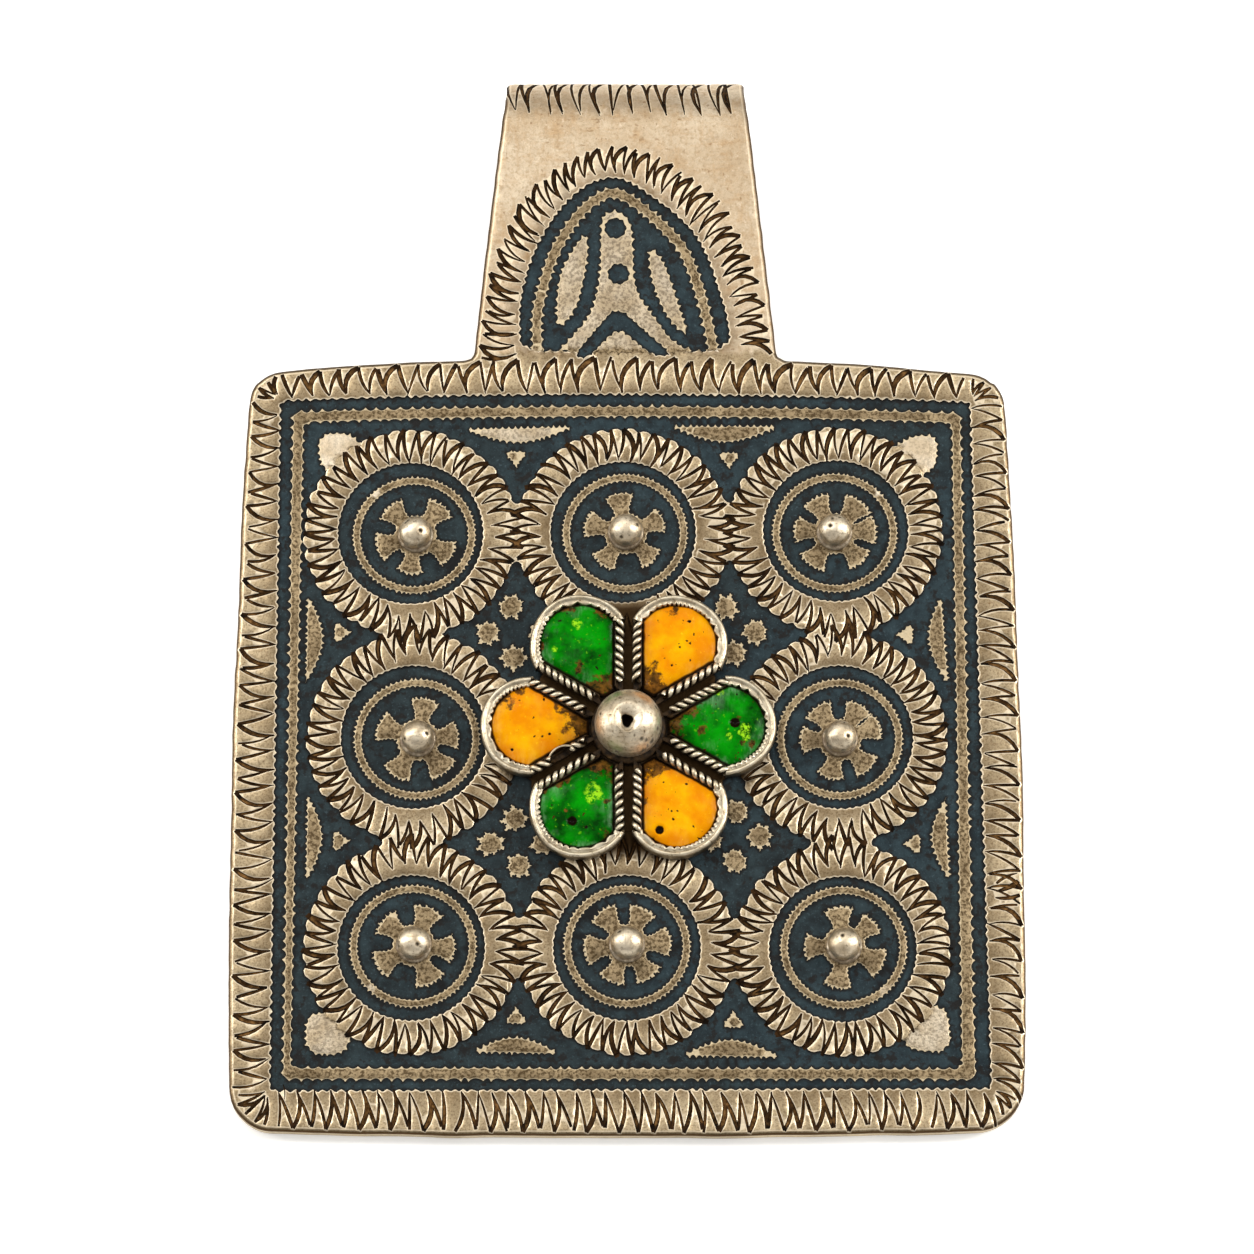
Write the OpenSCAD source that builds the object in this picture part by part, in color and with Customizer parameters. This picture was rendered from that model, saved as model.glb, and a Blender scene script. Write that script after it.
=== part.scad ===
// Square silver pendant with niello medallions in a three by three grid, an enamelled rosette
// over the middle one, and a broad strap folded over backward into a loop bail. Millimetres.
// It lies on its back, front up, with +Y toward the bail. The pieces are drawn in the plate's
// own frame: the middle of the medallion grid is the origin and the plate's back is at z = 0.

/* [Plate] */
// Width at the bottom edge
plate_w_bottom = 60.7; // [59.5:0.1:64]
// Width at the ends of the top edge
plate_w_top = 58.9; // [58.2:0.1:62]
// Distance from the middle of the grid down to the bottom edge
plate_below = 30.6; // [30:0.1:33]
// Distance from the middle of the grid up to the highest point of the top edge
plate_above = 30.4; // [30:0.1:33]
// Thickness of the sheet
plate_t = 1.5; // [1.2:0.1:2.4]
// Radius of the arched top edge
arch_r = 360; // [250:10:900]
// How far the side edges bow outward in their middle
side_bow = 0.5; // [0.2:0.05:0.8]
// How far the bottom edge bows downward in its middle
bottom_bow = 0.35; // [0.2:0.05:0.8]
// Radius of the top left corner
corner_tl = 2.6; // [1.5:0.1:4]
// Radius of the top right corner
corner_tr = 3.1; // [1.5:0.1:4]
// Radius of the bottom left corner
corner_bl = 3.4; // [1.5:0.1:4]
// Radius of the bottom right corner
corner_br = 3.8; // [1.5:0.1:4]

/* [Border] */
// Width of the engraved silver border
border_w = 2.85; // [2:0.05:3]
// Extra width of the border along the bottom
border_more = 0.35; // [0:0.05:0.6]
// Width of the dark line inside the border
dark_line_w = 0.75; // [0.5:0.05:0.9]
// Width of the light line inside the dark one
light_line_w = 1.0; // [0.7:0.05:1.1]

/* [Bail] */
// Half width of the strap where it leaves the plate
bail_foot = 11.9; // [10:0.1:13]
// Half width of the strap at the top of the bend
bail_top = 9.45; // [8:0.05:10]
// How far the strap lies left of the grid's middle
bail_left = 0.14; // [0:0.02:0.4]
// Half width of the strap's soldered end on the back
bail_end = 7.2; // [5:0.1:8]
// Height of the middle of the bend above the middle of the grid
bail_rise = 48.9; // [45:0.1:52]
// Outer radius of the bend
bail_r = 5.5; // [5:0.1:6.5]
// Thickness of the strap
strap_t = 1.3; // [1:0.1:1.4]
// Length of the soldered end on the back
tab_len = 4; // [3:0.5:8]
// Radius of the fillet between strap and plate
bail_fillet = 0.9; // [0.5:0.1:1.5]

/* [Medallions] */
// Distance between neighbouring medallions
pitch = 16.5; // [16.4:0.05:16.8]
// Outer radius of the engraved ring
ring_r = 8.2; // [7.9:0.05:8.3]
// Inner radius of the engraved ring
ring_hole_r = 5.65; // [5.4:0.05:5.9]
// Width of the neck that joins two neighbouring rings, along its ring's edge
neck_w = 4.8; // [3:0.1:6]
// Outer radius of the thin light ring
thin_r = 4.85; // [4.6:0.05:5]
// Inner radius of the thin light ring
thin_hole_r = 4.15; // [4:0.05:4.3]
// Reach of the floret's petals
floret_r = 3.1; // [2.8:0.1:3.4]
// Radius of the floret's middle
floret_hub_r = 1.55; // [1.5:0.05:1.8]

/* [Reserved marks] */
// Length of the lens marks along the border
lens_len = 7.4; // [5:0.1:9]
// Depth of the lens marks
lens_depth = 1.1; // [0.8:0.1:1.3]
// Distance of their straight sides from the middle of the grid
lens_at = 24.7; // [24.4:0.1:24.8]
// Size of the small triangles, as the radius of the circle round them
triangle_r = 0.85; // [0.5:0.05:1]
// Distance of the small triangles from the middle of the grid
triangle_at = 22; // [21.5:0.1:22.3]
// Radius of the eight-pointed stars
star_r = 1.1; // [0.8:0.05:1.2]
// Distance of the stars from the middle of their diamond
star_at = 2.0; // [1.8:0.1:2.1]
// Side of the corner patches
patch_side = 3.7; // [3:0.1:4]
// Distance of the corner patches' middles from the grid's middle lines
patch_at = 22.4; // [22.2:0.1:22.6]

/* [Bail motif] */
// Half width of the dark arch
arch_half_w = 8.1; // [7:0.1:8.5]
// Height of the dark arch over its foot
arch_h = 13.9; // [12:0.1:14.5]
// Distance of the arch's foot from the middle of the grid
arch_foot = 31.4; // [31:0.1:32]
// Width of the dark band round the arch
arch_band_w = 0.85; // [0.6:0.05:1.2]
// Width of the light line inside the dark band
arch_line_w = 0.8; // [0.6:0.05:1]
// Middle of the figures left or right of the strap's middle
figures_x = -0.8; // [-1:0.1:0.5]
// Half width of the stem
stem_half_w = 1.25; // [1.1:0.05:1.5]
// Height of the stem's round top over the arch's foot
stem_top = 10.1; // [9:0.1:10.5]
// Height of the fork where the stem spreads into two legs
stem_fork = 4.6; // [4:0.1:5.5]
// Angle of the legs from the stem
leg_turn = 38; // [30:1:50]
// Half width of the legs
leg_half_w = 0.8; // [0.5:0.05:1.1]
// Radius of the two dark dots in the stem
dot_r = 0.8; // [0.5:0.05:0.95]
// Height of the upper dot over the arch's foot
dot_high = 9.6; // [9:0.1:10]
// Height of the lower dot over the arch's foot
dot_low = 5.9; // [5.5:0.1:7]
// Radius of the two circles that make a leaf
leaf_r = 10.1; // [9.8:0.1:11]
// Half of the leaf's width
leaf_half_w = 0.8; // [0.5:0.05:1]
// Distance of a leaf's middle from the stem's middle line
leaf_out = 3.6; // [3.3:0.1:3.9]
// Height of a leaf's middle over the arch's foot
leaf_up = 5.4; // [5:0.1:6]
// Lean of the leaves toward the arch's point
leaf_turn = 16; // [10:1:20]
// Half width of the triangle between the legs
foot_half_w = 1.5; // [1:0.1:2]
// Height of the triangle between the legs
foot_h = 1.4; // [0.8:0.1:1.8]

/* [Niello] */
// Depth of the hollows for the niello
recess_d = 0.6; // [0.4:0.05:0.8]
// How far the niello lies below the silver
niello_below = 0.2; // [0.1:0.05:0.3]
// Gap between the niello and the silver around it
niello_gap = 0.05; // [0.03:0.01:0.08]

/* [Studs] */
// Radius of the balls
stud_r = 1.25; // [1:0.05:1.4]
// Height of a ball's middle over the plate
stud_rise = 1.0; // [0.8:0.1:1.2]
// Radius of the thin collar
collar_r = 1.5; // [1.4:0.05:1.55]
// Height of the thin collar
collar_h = 0.3; // [0.2:0.05:0.4]
// Radius of the rivet pin
pin_r = 0.4; // [0.3:0.05:0.5]
// Radius of the rivet's head on the back
rivet_head_r = 0.8; // [0.7:0.05:1.2]
// Height of the rivet's head
rivet_head_h = 0.3; // [0.2:0.05:0.5]
// Gap round each pin
pin_gap = 0.05; // [0.04:0.01:0.08]

/* [Rosette] */
// Middle of the rosette right of the grid's middle
rosette_x = 0.1; // [-0.3:0.1:0.3]
// Middle of the rosette above the grid's middle
rosette_y = 0.7; // [0:0.1:0.9]
// Thickness of its base sheet
base_t = 0.4; // [0.3:0.05:0.6]
// Distance of each petal's outer edge from the spoke between two petals
spoke_gap = 0.3; // [0.2:0.05:0.5]
// Distance of the petals' round ends from the middle
petal_at = 7.4; // [7:0.1:7.8]
// Radius of the petals' round ends
petal_r = 3.95; // [3.8:0.05:4.1]
// Diameter of the wire round each petal
wire_d = 0.72; // [0.6:0.02:0.8]
// Height of the wire's middle over the base sheet
wire_rise = 0.85; // [0.7:0.05:1.2]
// Thickness of the cell walls under the wire
wall_t = 0.5; // [0.4:0.02:0.54]
// Gap between enamel and metal
enamel_gap = 0.08; // [0.05:0.01:0.1]
// Height of the enamel's crown over the base sheet
enamel_h = 1.15; // [0.9:0.05:1.2]
// Radius of the sphere that domes the enamel
enamel_dome_r = 14; // [12:1:30]

/* [Boss] */
// Radius of the hollow ball
boss_r = 2.6; // [2.4:0.05:2.7]
// Wall of the ball
boss_wall = 0.4; // [0.3:0.05:0.5]
// Height of the ball's middle over its seat
boss_rise = 1.1; // [0.8:0.1:1.4]
// Radius of the hub that it sits on
hub_r = 2.9; // [2.8:0.05:3]
// Height of the hub
hub_h = 1.0; // [0.8:0.1:1.1]
// Radius of the hole in the ball
boss_hole_r = 0.45; // [0.3:0.05:0.6]
// Radius of its rivet pin
boss_pin_r = 0.6; // [0.4:0.05:0.8]
// Radius of its rivet's head on the back
boss_head_r = 1.1; // [0.9:0.05:1.5]

/* [Hidden] */
$fn = 64;

// Colours
SILVER = [0.67, 0.59, 0.46];
BRIGHT = [0.78, 0.71, 0.58];
NIELLO = [0.17, 0.24, 0.29];
GREEN = [0.05, 0.45, 0.1];
YELLOW = [0.95, 0.65, 0.06];

// Columns: medallion's x and y, its stud's x and y, petals of the floret, turn of the first petal
MEDALLIONS = [
    [-16.8, 16.3, -16.4, 16.1, 5, 55],
    [-0.3, 16.4, -0.1, 16.3, 5, 23],
    [16.2, 16.5, 16.1, 16.3, 6, 55],
    [-16.4, 0.1, -16.1, -0.1, 5, 12],
    [16.4, 0.1, 16.4, -0.1, 6, 3],
    [-16.5, -16.4, -16.3, -16.2, 5, 68],
    [0, -16.4, 0, -16.2, 6, 5],
    [16.5, -16.5, 16.6, -16.3, 5, 40]];

// Columns: x and y of a neck's middle, turn of the neck
NECKS = [
    for (i = [-1 : 1], j = [-0.5, 0.5]) [i * pitch, j * pitch, 0],
    for (i = [-0.5, 0.5], j = [-1 : 1]) [i * pitch, j * pitch, 90]];

QUARTERS = [45, 135, 225, 315];
petal_turns = [for (i = [0 : 5]) 60 * i];

// The side edges lean in by side_k for each millimetre of height
arch_cy = plate_above - arch_r;
side_k = (plate_w_bottom - plate_w_top) / 2 / (plate_below + plate_above - 1);
side_s = sqrt(1 + side_k * side_k);
function half_w(y) = plate_w_bottom / 2 - side_k * (y + plate_below);

// Point at distance d from the side edge and the bottom edge, or the side edge and the arch
function low_corner(d, low) = [half_w(-plate_below + low) - d * side_s, -plate_below + low];
function high_corner(d) =
    let (a = plate_w_bottom / 2 - side_k * plate_below - d * side_s,
        b = a * side_k + arch_cy,
        c = a * a + arch_cy * arch_cy - (arch_r - d) * (arch_r - d),
        y = (b + sqrt(b * b - side_s * side_s * c)) / (side_s * side_s))
    [a - side_k * y, y];
function unit(v) = v / norm(v);
function flip(p, side) = [side * p[0], p[1]];

// Widths of the bands from the edge inward
dark_in = border_w + dark_line_w;
light_in = dark_in + light_line_w;
least_corner = 0.4;
// A round corner stands out by this little, so that it crosses the edges at a clear angle
corner_over = 0.01;
// The arched edge is cut from a disc by a shape that reaches this far over its corners
arch_past = 6;
// A neck reaches this far across from ring to ring
neck_depth = 1.4;
// Half widths of a floret's petal at its root and its tip
petal_root = 0.5;
petal_tip = 0.85;
// Half size of blocks that only cut, past every edge of the strap
far = 20;
// Height and depth of cutters that run out of the plate or the rosette on either side
past = 6;

// The bail's bend, and the slanted run from it down to the plate's back
bend_z = plate_t - bail_r;
bend_mid_r = bail_r - strap_t / 2;
run_dy = bail_rise - plate_above;
run_dz = -strap_t / 2 - bend_z;
run_len = norm([run_dy, run_dz]);
back_turn = atan2(run_dz, run_dy) + asin(bend_mid_r / run_len);

// At rest the plate's lower back edge and the bend's back touch the ground
plate_low = plate_below + bottom_bow;
rest_tilt = asin(bail_r / norm([bail_rise + plate_low, bend_z]))
    - atan2(bend_z, bail_rise + plate_low);
low_y = -plate_low * cos(rest_tilt) - plate_t * sin(rest_tilt);
high_y = bail_rise * cos(rest_tilt) - bend_z * sin(rest_tilt) + bail_r;

// Length of the strap's foot inside the plate
strap_sunk = 4;
// The bowed edges start this far inside the straight ones
bow_sunk = 0.1;

// Wire of a petal: its middle line is inset by half the wire
wire_r = wire_d / 2;
knob_r = wire_r + 0.06;
base_z = plate_t + base_t;
wire_z = base_z + wire_rise;
seat_z = plate_t + hub_h;
// Gap between the boss and the wires' ends, which start this far inside the hub
ball_clear = 0.12;
start_in = 0.6;
// The hole in the boss lies a little off its top
boss_hole_y = 0.2;

module lying() {
    translate([0, -(low_y + high_y) / 2, plate_low * sin(rest_tilt)])
        rotate([rest_tilt, 0, 0])
            children();
}

// Outline of the plate, inset all round, and by low_more in addition along the bottom
module plate_outline(inset, low_more = 0) {
    r_bl = max(corner_bl - inset, least_corner);
    r_br = max(corner_br - inset, least_corner);
    r_tl = max(corner_tl - inset, least_corner);
    r_tr = max(corner_tr - inset, least_corner);
    bl = flip(low_corner(inset + r_bl, inset + r_bl + low_more), -1);
    br = low_corner(inset + r_br, inset + r_br + low_more);
    tl = flip(high_corner(inset + r_tl), -1);
    tr = high_corner(inset + r_tr);
    out = [1, side_k] / side_s;
    up_l = unit(tl - [0, arch_cy]);
    up_r = unit(tr - [0, arch_cy]);
    polygon([bl + [0, -r_bl], br + [0, -r_br], br + r_br * out, tr + r_tr * out,
        tr, tl, tl + r_tl * flip(out, -1), bl + r_bl * flip(out, -1)]);
    translate(bl) circle(r_bl + corner_over);
    translate(br) circle(r_br + corner_over);
    translate(tl) circle(r_tl + corner_over);
    translate(tr) circle(r_tr + corner_over);
    intersection() {
        translate([0, arch_cy]) circle(arch_r - inset, $fn = 1440);
        polygon([tl - up_l, tr - up_r, tr + arch_past * up_r, tl + arch_past * up_l]);
    }
}

// A circle's segment over the line from a to b, with its bulge on the right of it
module bow(a, b, rise) {
    chord = norm(b - a);
    r = (chord * chord / 4 + rise * rise) / (2 * rise);
    translate(a) rotate(atan2(b[1] - a[1], b[0] - a[0])) intersection() {
        translate([chord / 2, r - rise]) circle(r, $fn = 1440);
        translate([0, -rise - 1]) square([chord, rise + 2]);
    }
}

// The bowed sides and bottom, between the middles of the outline's round corners
module plate_bows() {
    out = [1, side_k] / side_s;
    bl = flip(low_corner(corner_bl, corner_bl), -1);
    br = low_corner(corner_br, corner_br);
    tl = flip(high_corner(corner_tl), -1);
    tr = high_corner(corner_tr);
    bow(tl + (corner_tl - bow_sunk) * flip(out, -1), bl + (corner_bl - bow_sunk) * flip(out, -1),
        side_bow + bow_sunk);
    bow(br + (corner_br - bow_sunk) * out, tr + (corner_tr - bow_sunk) * out,
        side_bow + bow_sunk);
    bow(bl - [0, corner_bl - bow_sunk], br - [0, corner_br - bow_sunk], bottom_bow + bow_sunk);
}

// A circle's segment: its chord lies on y = 0 and its bulge points to -Y
module lens(grow) {
    r = (lens_len * lens_len / 4 + lens_depth * lens_depth) / (2 * lens_depth);
    intersection() {
        translate([0, r - lens_depth]) circle(r + grow);
        translate([-lens_len, -lens_depth - 1]) square([2 * lens_len, lens_depth + 1 + grow]);
    }
}

module floret(petals, turn, grow) {
    half_in = petal_root + grow;
    half_out = petal_tip + grow;
    reach = floret_r + grow;
    circle(floret_hub_r + grow);
    for (i = [0 : petals - 1]) {
        rotate(turn + i * 360 / petals)
            polygon([[0, -half_in], [reach, -half_out], [reach, half_out], [0, half_in]]);
    }
}

module rings(grow) {
    circle(ring_r + grow);
    for (m = MEDALLIONS) {
        translate([m[0], m[1]]) circle(ring_r + grow);
    }
    for (n = NECKS) {
        translate([n[0], n[1]]) rotate(n[2]) square([neck_w + 2 * grow, neck_depth], center = true);
    }
}

module field_marks(grow) {
    for (q = [0 : 90 : 270], side = [-1, 1]) {
        rotate(q) {
            translate([side * pitch / 2, lens_at]) lens(grow);
            translate([side * pitch / 2, triangle_at]) rotate(-90) circle(triangle_r + 2 * grow, $fn = 3);
        }
    }
    for (q = QUARTERS) {
        translate(sqrt(2) * patch_at * [cos(q), sin(q)]) square(patch_side + 2 * grow, center = true);
        translate(pitch / sqrt(2) * [cos(q), sin(q)]) {
            for (a = [0 : 90 : 270]) {
                translate(star_at * [cos(a), sin(a)]) {
                    square(sqrt(2) * star_r * 0.8 + 2 * grow, center = true);
                    rotate(45) square(sqrt(2) * star_r + 2 * grow, center = true);
                }
            }
        }
    }
}

// A half ellipse with a straight foot, by its formula
module arch_shape(half, height) {
    steps = 28;
    polygon([for (i = [0 : steps]) [half * cos(180 * i / steps), height * sin(180 * i / steps)]]);
}

module leaf(side, grow) {
    translate([side * leaf_out, leaf_up]) {
        rotate(side * leaf_turn) {
            intersection() {
                translate([leaf_half_w - leaf_r, 0]) circle(leaf_r + grow);
                translate([leaf_r - leaf_half_w, 0]) circle(leaf_r + grow);
            }
        }
    }
}

// The silver figures inside the bail's arch: a stem that spreads into two legs, and two leaves
module bail_figures(grow) {
    half = stem_half_w + grow;
    leg_len = stem_fork / cos(leg_turn) + 1;
    translate([figures_x, arch_foot]) {
        difference() {
            union() {
                translate([-half, stem_fork - 0.5]) square([2 * half, stem_top - stem_fork + 0.5]);
                translate([0, stem_top]) circle(half);
                for (side = [-1, 1]) {
                    translate([0, stem_fork]) rotate(side * leg_turn)
                        translate([-leg_half_w - grow, -leg_len])
                            square([2 * (leg_half_w + grow), leg_len + 0.9]);
                }
            }
            translate([0, dot_high]) circle(dot_r - grow);
            translate([0, dot_low]) circle(dot_r - grow);
        }
        leaf(-1, grow);
        translate([0.6, 0]) leaf(1, grow);
        polygon([[-foot_half_w - 2 * grow, -1], [foot_half_w + 2 * grow, -1], [0, foot_h + grow]]);
    }
}

module border_line_area(gap) {
    difference() {
        plate_outline(border_w + gap, border_more);
        plate_outline(dark_in - gap, border_more);
    }
}

module field_area(gap) {
    difference() {
        plate_outline(light_in + gap, border_more);
        rings(gap);
        field_marks(gap);
    }
}

module medallion_area(m, gap) {
    translate([m[0], m[1]]) {
        difference() {
            circle(ring_hole_r - gap);
            circle(thin_r + gap);
        }
        difference() {
            circle(thin_hole_r - gap);
            floret(m[4], m[5], gap);
        }
    }
}

// The light line's arch starts below the foot, so that its ends run out square
module bail_arch_area(gap) {
    line_out = arch_half_w - arch_band_w;
    line_in = line_out - arch_line_w;
    line_h = arch_h + 1 - arch_band_w;
    difference() {
        translate([-0.1, arch_foot + gap]) arch_shape(arch_half_w - gap, arch_h - gap);
        translate([-0.2, arch_foot - 1]) difference() {
            arch_shape(line_out + gap, line_h + gap);
            arch_shape(line_in - gap, line_h - arch_line_w - gap);
        }
        bail_figures(gap);
    }
}

// An inlay fills its hollow from the floor up to a little below the silver
module inlay() {
    color(NIELLO)
        translate([0, 0, plate_t - recess_d])
            linear_extrude(recess_d - niello_below)
                children();
}

module hollow() {
    translate([0, 0, plate_t - recess_d])
        linear_extrude(recess_d + past)
            children();
}

// Side views of the strap: the straight front with the first half of the bend, and the second
// half with the slanted run to the plate's back and the flat soldered end
module bend_part(cut) {
    translate([bail_rise, bend_z]) {
        intersection() {
            difference() {
                circle(bail_r, $fn = 96);
                circle(bail_r - strap_t, $fn = 96);
            }
            polygon(cut);
        }
    }
}

module front_profile() {
    translate([plate_above - strap_sunk, plate_t - strap_t])
        square([bail_rise - plate_above + strap_sunk, strap_t]);
    bend_part([[0, 0], [0, far], [far, far], [far, 0]]);
}

module back_profile() {
    straight = sqrt(run_len * run_len - bend_mid_r * bend_mid_r);
    bend_part([[0, 0], [far, 0], [far, -far], [-far * sin(back_turn), -far * cos(back_turn)]]);
    translate([plate_above, -strap_t / 2])
        rotate(-back_turn)
            translate([0, -strap_t / 2]) square([straight, strap_t]);
    translate([plate_above - tab_len, -strap_t]) square([tab_len + 0.1, strap_t + 0.5]);
}

// Front view of the strap: it narrows evenly up to the bend's top
module strap_face(half_low, y_low) {
    y_high = bail_rise + bail_r - strap_t;
    y_past = y_high + 2 * strap_t;
    translate([0, 0, -far])
        linear_extrude(2 * far)
            polygon([[-half_low, y_low], [half_low, y_low], [bail_top, y_high], [bail_top, y_past],
                [-bail_top, y_past], [-bail_top, y_high]]);
}

module strap_body() {
    translate([-far, 0, 0]) rotate([90, 0, 90]) linear_extrude(2 * far) children();
}

module bail() {
    lean = (bail_foot - bail_top) / (bail_rise + bail_r - strap_t - plate_above);
    intersection() {
        strap_body() front_profile();
        strap_face(bail_foot + lean * strap_sunk, plate_above - strap_sunk);
    }
    intersection() {
        strap_body() back_profile();
        strap_face(bail_end, plate_above - tab_len);
    }
}

module bail_fillets() {
    size = 2 * bail_fillet;
    top_y = plate_above - 0.2;
    for (side = [-1, 1]) {
        translate([side * (bail_foot - 0.1), top_y, plate_t - strap_t]) {
            linear_extrude(strap_t) {
                difference() {
                    square([size, size], center = true);
                    translate([side * bail_fillet, bail_fillet]) circle(bail_fillet, $fn = 48);
                    translate([side * size, 0]) square([size, 4 * size], center = true);
                }
            }
        }
    }
}

module rivet_hole(x, y, r) {
    translate([x, y, -past]) cylinder(h = plate_t + 2 * past, r = r);
}

module plate_and_bail() {
    color(SILVER) lying() difference() {
        union() {
            linear_extrude(plate_t) {
                plate_outline(0);
                plate_bows();
            }
            translate([-bail_left, 0, 0]) {
                bail();
                bail_fillets();
            }
        }
        hollow() border_line_area(0);
        hollow() field_area(0);
        hollow() bail_arch_area(0);
        for (m = MEDALLIONS) {
            hollow() medallion_area(m, 0);
            rivet_hole(m[2], m[3], pin_r + pin_gap);
        }
        rivet_hole(rosette_x, rosette_y, boss_pin_r + pin_gap);
    }
}

module niello_border_line() {
    lying() inlay() border_line_area(niello_gap);
}

module niello_field() {
    lying() inlay() field_area(niello_gap);
}

module niello_bail_arch() {
    lying() inlay() bail_arch_area(niello_gap);
}

module niello_medallion(i) {
    lying() inlay() medallion_area(MEDALLIONS[i - 1], niello_gap);
}

// A pin through the plate with a flat head against the back
module rivet(r, head_r, head_h, top) {
    translate([0, 0, -head_h]) cylinder(h = head_h + top, r = r);
    translate([0, 0, -head_h]) cylinder(h = head_h, r = head_r);
}

module stud(i) {
    m = MEDALLIONS[i - 1];
    color(BRIGHT) lying() translate([m[2], m[3], 0]) {
        difference() {
            translate([0, 0, plate_t + stud_rise]) sphere(stud_r, $fn = 48);
            translate([0, 0, -past]) cylinder(h = past + plate_t + collar_h / 2, r = 2 * stud_r);
        }
        translate([0, 0, plate_t]) cylinder(h = collar_h, r = collar_r, $fn = 48);
        rivet(pin_r, rivet_head_r, rivet_head_h, plate_t + stud_rise);
    }
}

// A petal points along +X. Inset by d, its sides start at petal_foot and end at petal_shoulder
function petal_foot(d) = [(spoke_gap + d) / sin(30), 0];
function petal_shoulder(d) =
    let (r = petal_r - d,
        off = petal_at * sin(30) - spoke_gap - d,
        along = petal_at * cos(30) + sqrt(r * r - off * off))
    [along * cos(30) + (spoke_gap + d) * sin(30), along * sin(30) - (spoke_gap + d) * cos(30)];

// A wedge of 60 degrees cut to a round end. The block fills the wedge from its foot to the circle
module petal_shape(d) {
    foot = petal_foot(d)[0];
    wedge_len = 14;
    block_end = petal_at - 0.5;
    block_half = (block_end - foot) * tan(30) + 0.1;
    wedge_half = wedge_len * tan(30);
    intersection() {
        polygon([[foot, 0], [foot + wedge_len, -wedge_half], [foot + wedge_len, wedge_half]]);
        union() {
            translate([petal_at, 0]) circle(petal_r - d);
            translate([0, -block_half]) square([block_end, 2 * block_half]);
        }
    }
}

module petal_wire() {
    s = petal_shoulder(wire_r);
    turn = atan2(s[1], s[0] - petal_at);
    side_len = norm(s - petal_foot(wire_r));
    for (side = [-1, 1]) {
        translate([petal_foot(wire_r)[0], 0, 0])
            rotate([0, 90, side * 30]) cylinder(h = side_len, r = wire_r, $fn = 24);
        translate([s[0], side * s[1], 0]) sphere(knob_r, $fn = 24);
    }
    translate([petal_at, 0, 0])
        rotate([0, 0, -turn])
            rotate_extrude(angle = 2 * turn, $fn = 96)
                translate([petal_r - wire_r, 0]) circle(wire_r, $fn = 24);
}

module rosette_place() {
    lying() translate([rosette_x, rosette_y, 0]) children();
}

module rosette_frame() {
    wall_in = wire_r - wall_t / 2;
    color(SILVER) rosette_place() difference() {
        union() {
            translate([0, 0, plate_t]) cylinder(h = hub_h, r = hub_r);
            difference() {
                for (a = petal_turns) {
                    rotate(a) {
                        translate([0, 0, plate_t]) linear_extrude(base_t) petal_shape(wire_r);
                        translate([0, 0, plate_t]) linear_extrude(wire_z - plate_t) difference() {
                            petal_shape(wall_in);
                            petal_shape(wall_in + wall_t);
                        }
                        translate([0, 0, wire_z]) petal_wire();
                    }
                }
                translate([0, 0, seat_z]) cylinder(h = past, r = boss_r + ball_clear);
                cylinder(h = past, r = hub_r - start_in);
            }
        }
        cylinder(h = past, r = boss_pin_r + pin_gap);
    }
}

module enamel_petal(i) {
    d = wire_d + enamel_gap;
    top_z = base_z + enamel_h;
    color(i % 2 == 1 ? GREEN : YELLOW) rosette_place() rotate(petal_turns[i - 1]) difference() {
        intersection() {
            translate([0, 0, base_z]) linear_extrude(enamel_h + 1) petal_shape(d);
            translate([petal_at - 0.6, 0, top_z - enamel_dome_r])
                rotate([90, 0, 0]) sphere(enamel_dome_r, $fn = 180);
        }
        translate([0, 0, base_z - past / 2]) cylinder(h = past, r = hub_r + enamel_gap);
    }
}

module centre_boss() {
    color(BRIGHT) rosette_place() {
        difference() {
            translate([0, 0, seat_z + boss_rise]) sphere(boss_r, $fn = 96);
            translate([0, 0, seat_z - past]) cylinder(h = past, r = 2 * boss_r);
            difference() {
                translate([0, 0, seat_z + boss_rise]) sphere(boss_r - boss_wall, $fn = 96);
                translate([0, 0, seat_z - past]) cylinder(h = past + boss_wall, r = 2 * boss_r);
            }
            translate([0, boss_hole_y, seat_z + boss_rise]) cylinder(h = past, r = boss_hole_r, $fn = 32);
        }
        rivet(boss_pin_r, boss_head_r, rivet_head_h, seat_z + boss_wall / 2);
    }
}

plate_and_bail();
niello_border_line();
niello_field();
niello_bail_arch();
rosette_frame();
centre_boss();
for (i = [1 : 8]) {
    niello_medallion(i);
    stud(i);
}
for (i = [1 : 6]) {
    enamel_petal(i);
}
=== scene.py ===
import math
import random

import bpy
import numpy as np
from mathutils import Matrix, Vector
from mathutils.geometry import delaunay_2d_cdt
from mathutils.kdtree import KDTree


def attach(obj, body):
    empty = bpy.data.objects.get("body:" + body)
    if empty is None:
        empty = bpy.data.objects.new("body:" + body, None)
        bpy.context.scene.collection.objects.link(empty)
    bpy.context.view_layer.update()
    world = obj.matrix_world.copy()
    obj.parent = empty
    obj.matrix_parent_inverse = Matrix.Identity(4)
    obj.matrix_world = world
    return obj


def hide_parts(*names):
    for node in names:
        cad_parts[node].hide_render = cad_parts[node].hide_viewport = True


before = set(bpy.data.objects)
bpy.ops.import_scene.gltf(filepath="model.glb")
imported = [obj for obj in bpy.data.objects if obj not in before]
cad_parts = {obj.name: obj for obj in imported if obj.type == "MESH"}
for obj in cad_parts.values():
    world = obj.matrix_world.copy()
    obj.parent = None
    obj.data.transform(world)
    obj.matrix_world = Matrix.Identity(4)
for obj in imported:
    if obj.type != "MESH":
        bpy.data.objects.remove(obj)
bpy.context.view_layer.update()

# Lengths are in millimetres in the plate's own frame: the middle of the medallion grid is the
# origin, the plate's back is z = 0 and its front z = 1.5. to_row() lays the pendant down.
PLATE_T = 1.5
STRAP_T = 1.3
FLOOR = -0.58  # of the hollows, measured from the front

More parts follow.
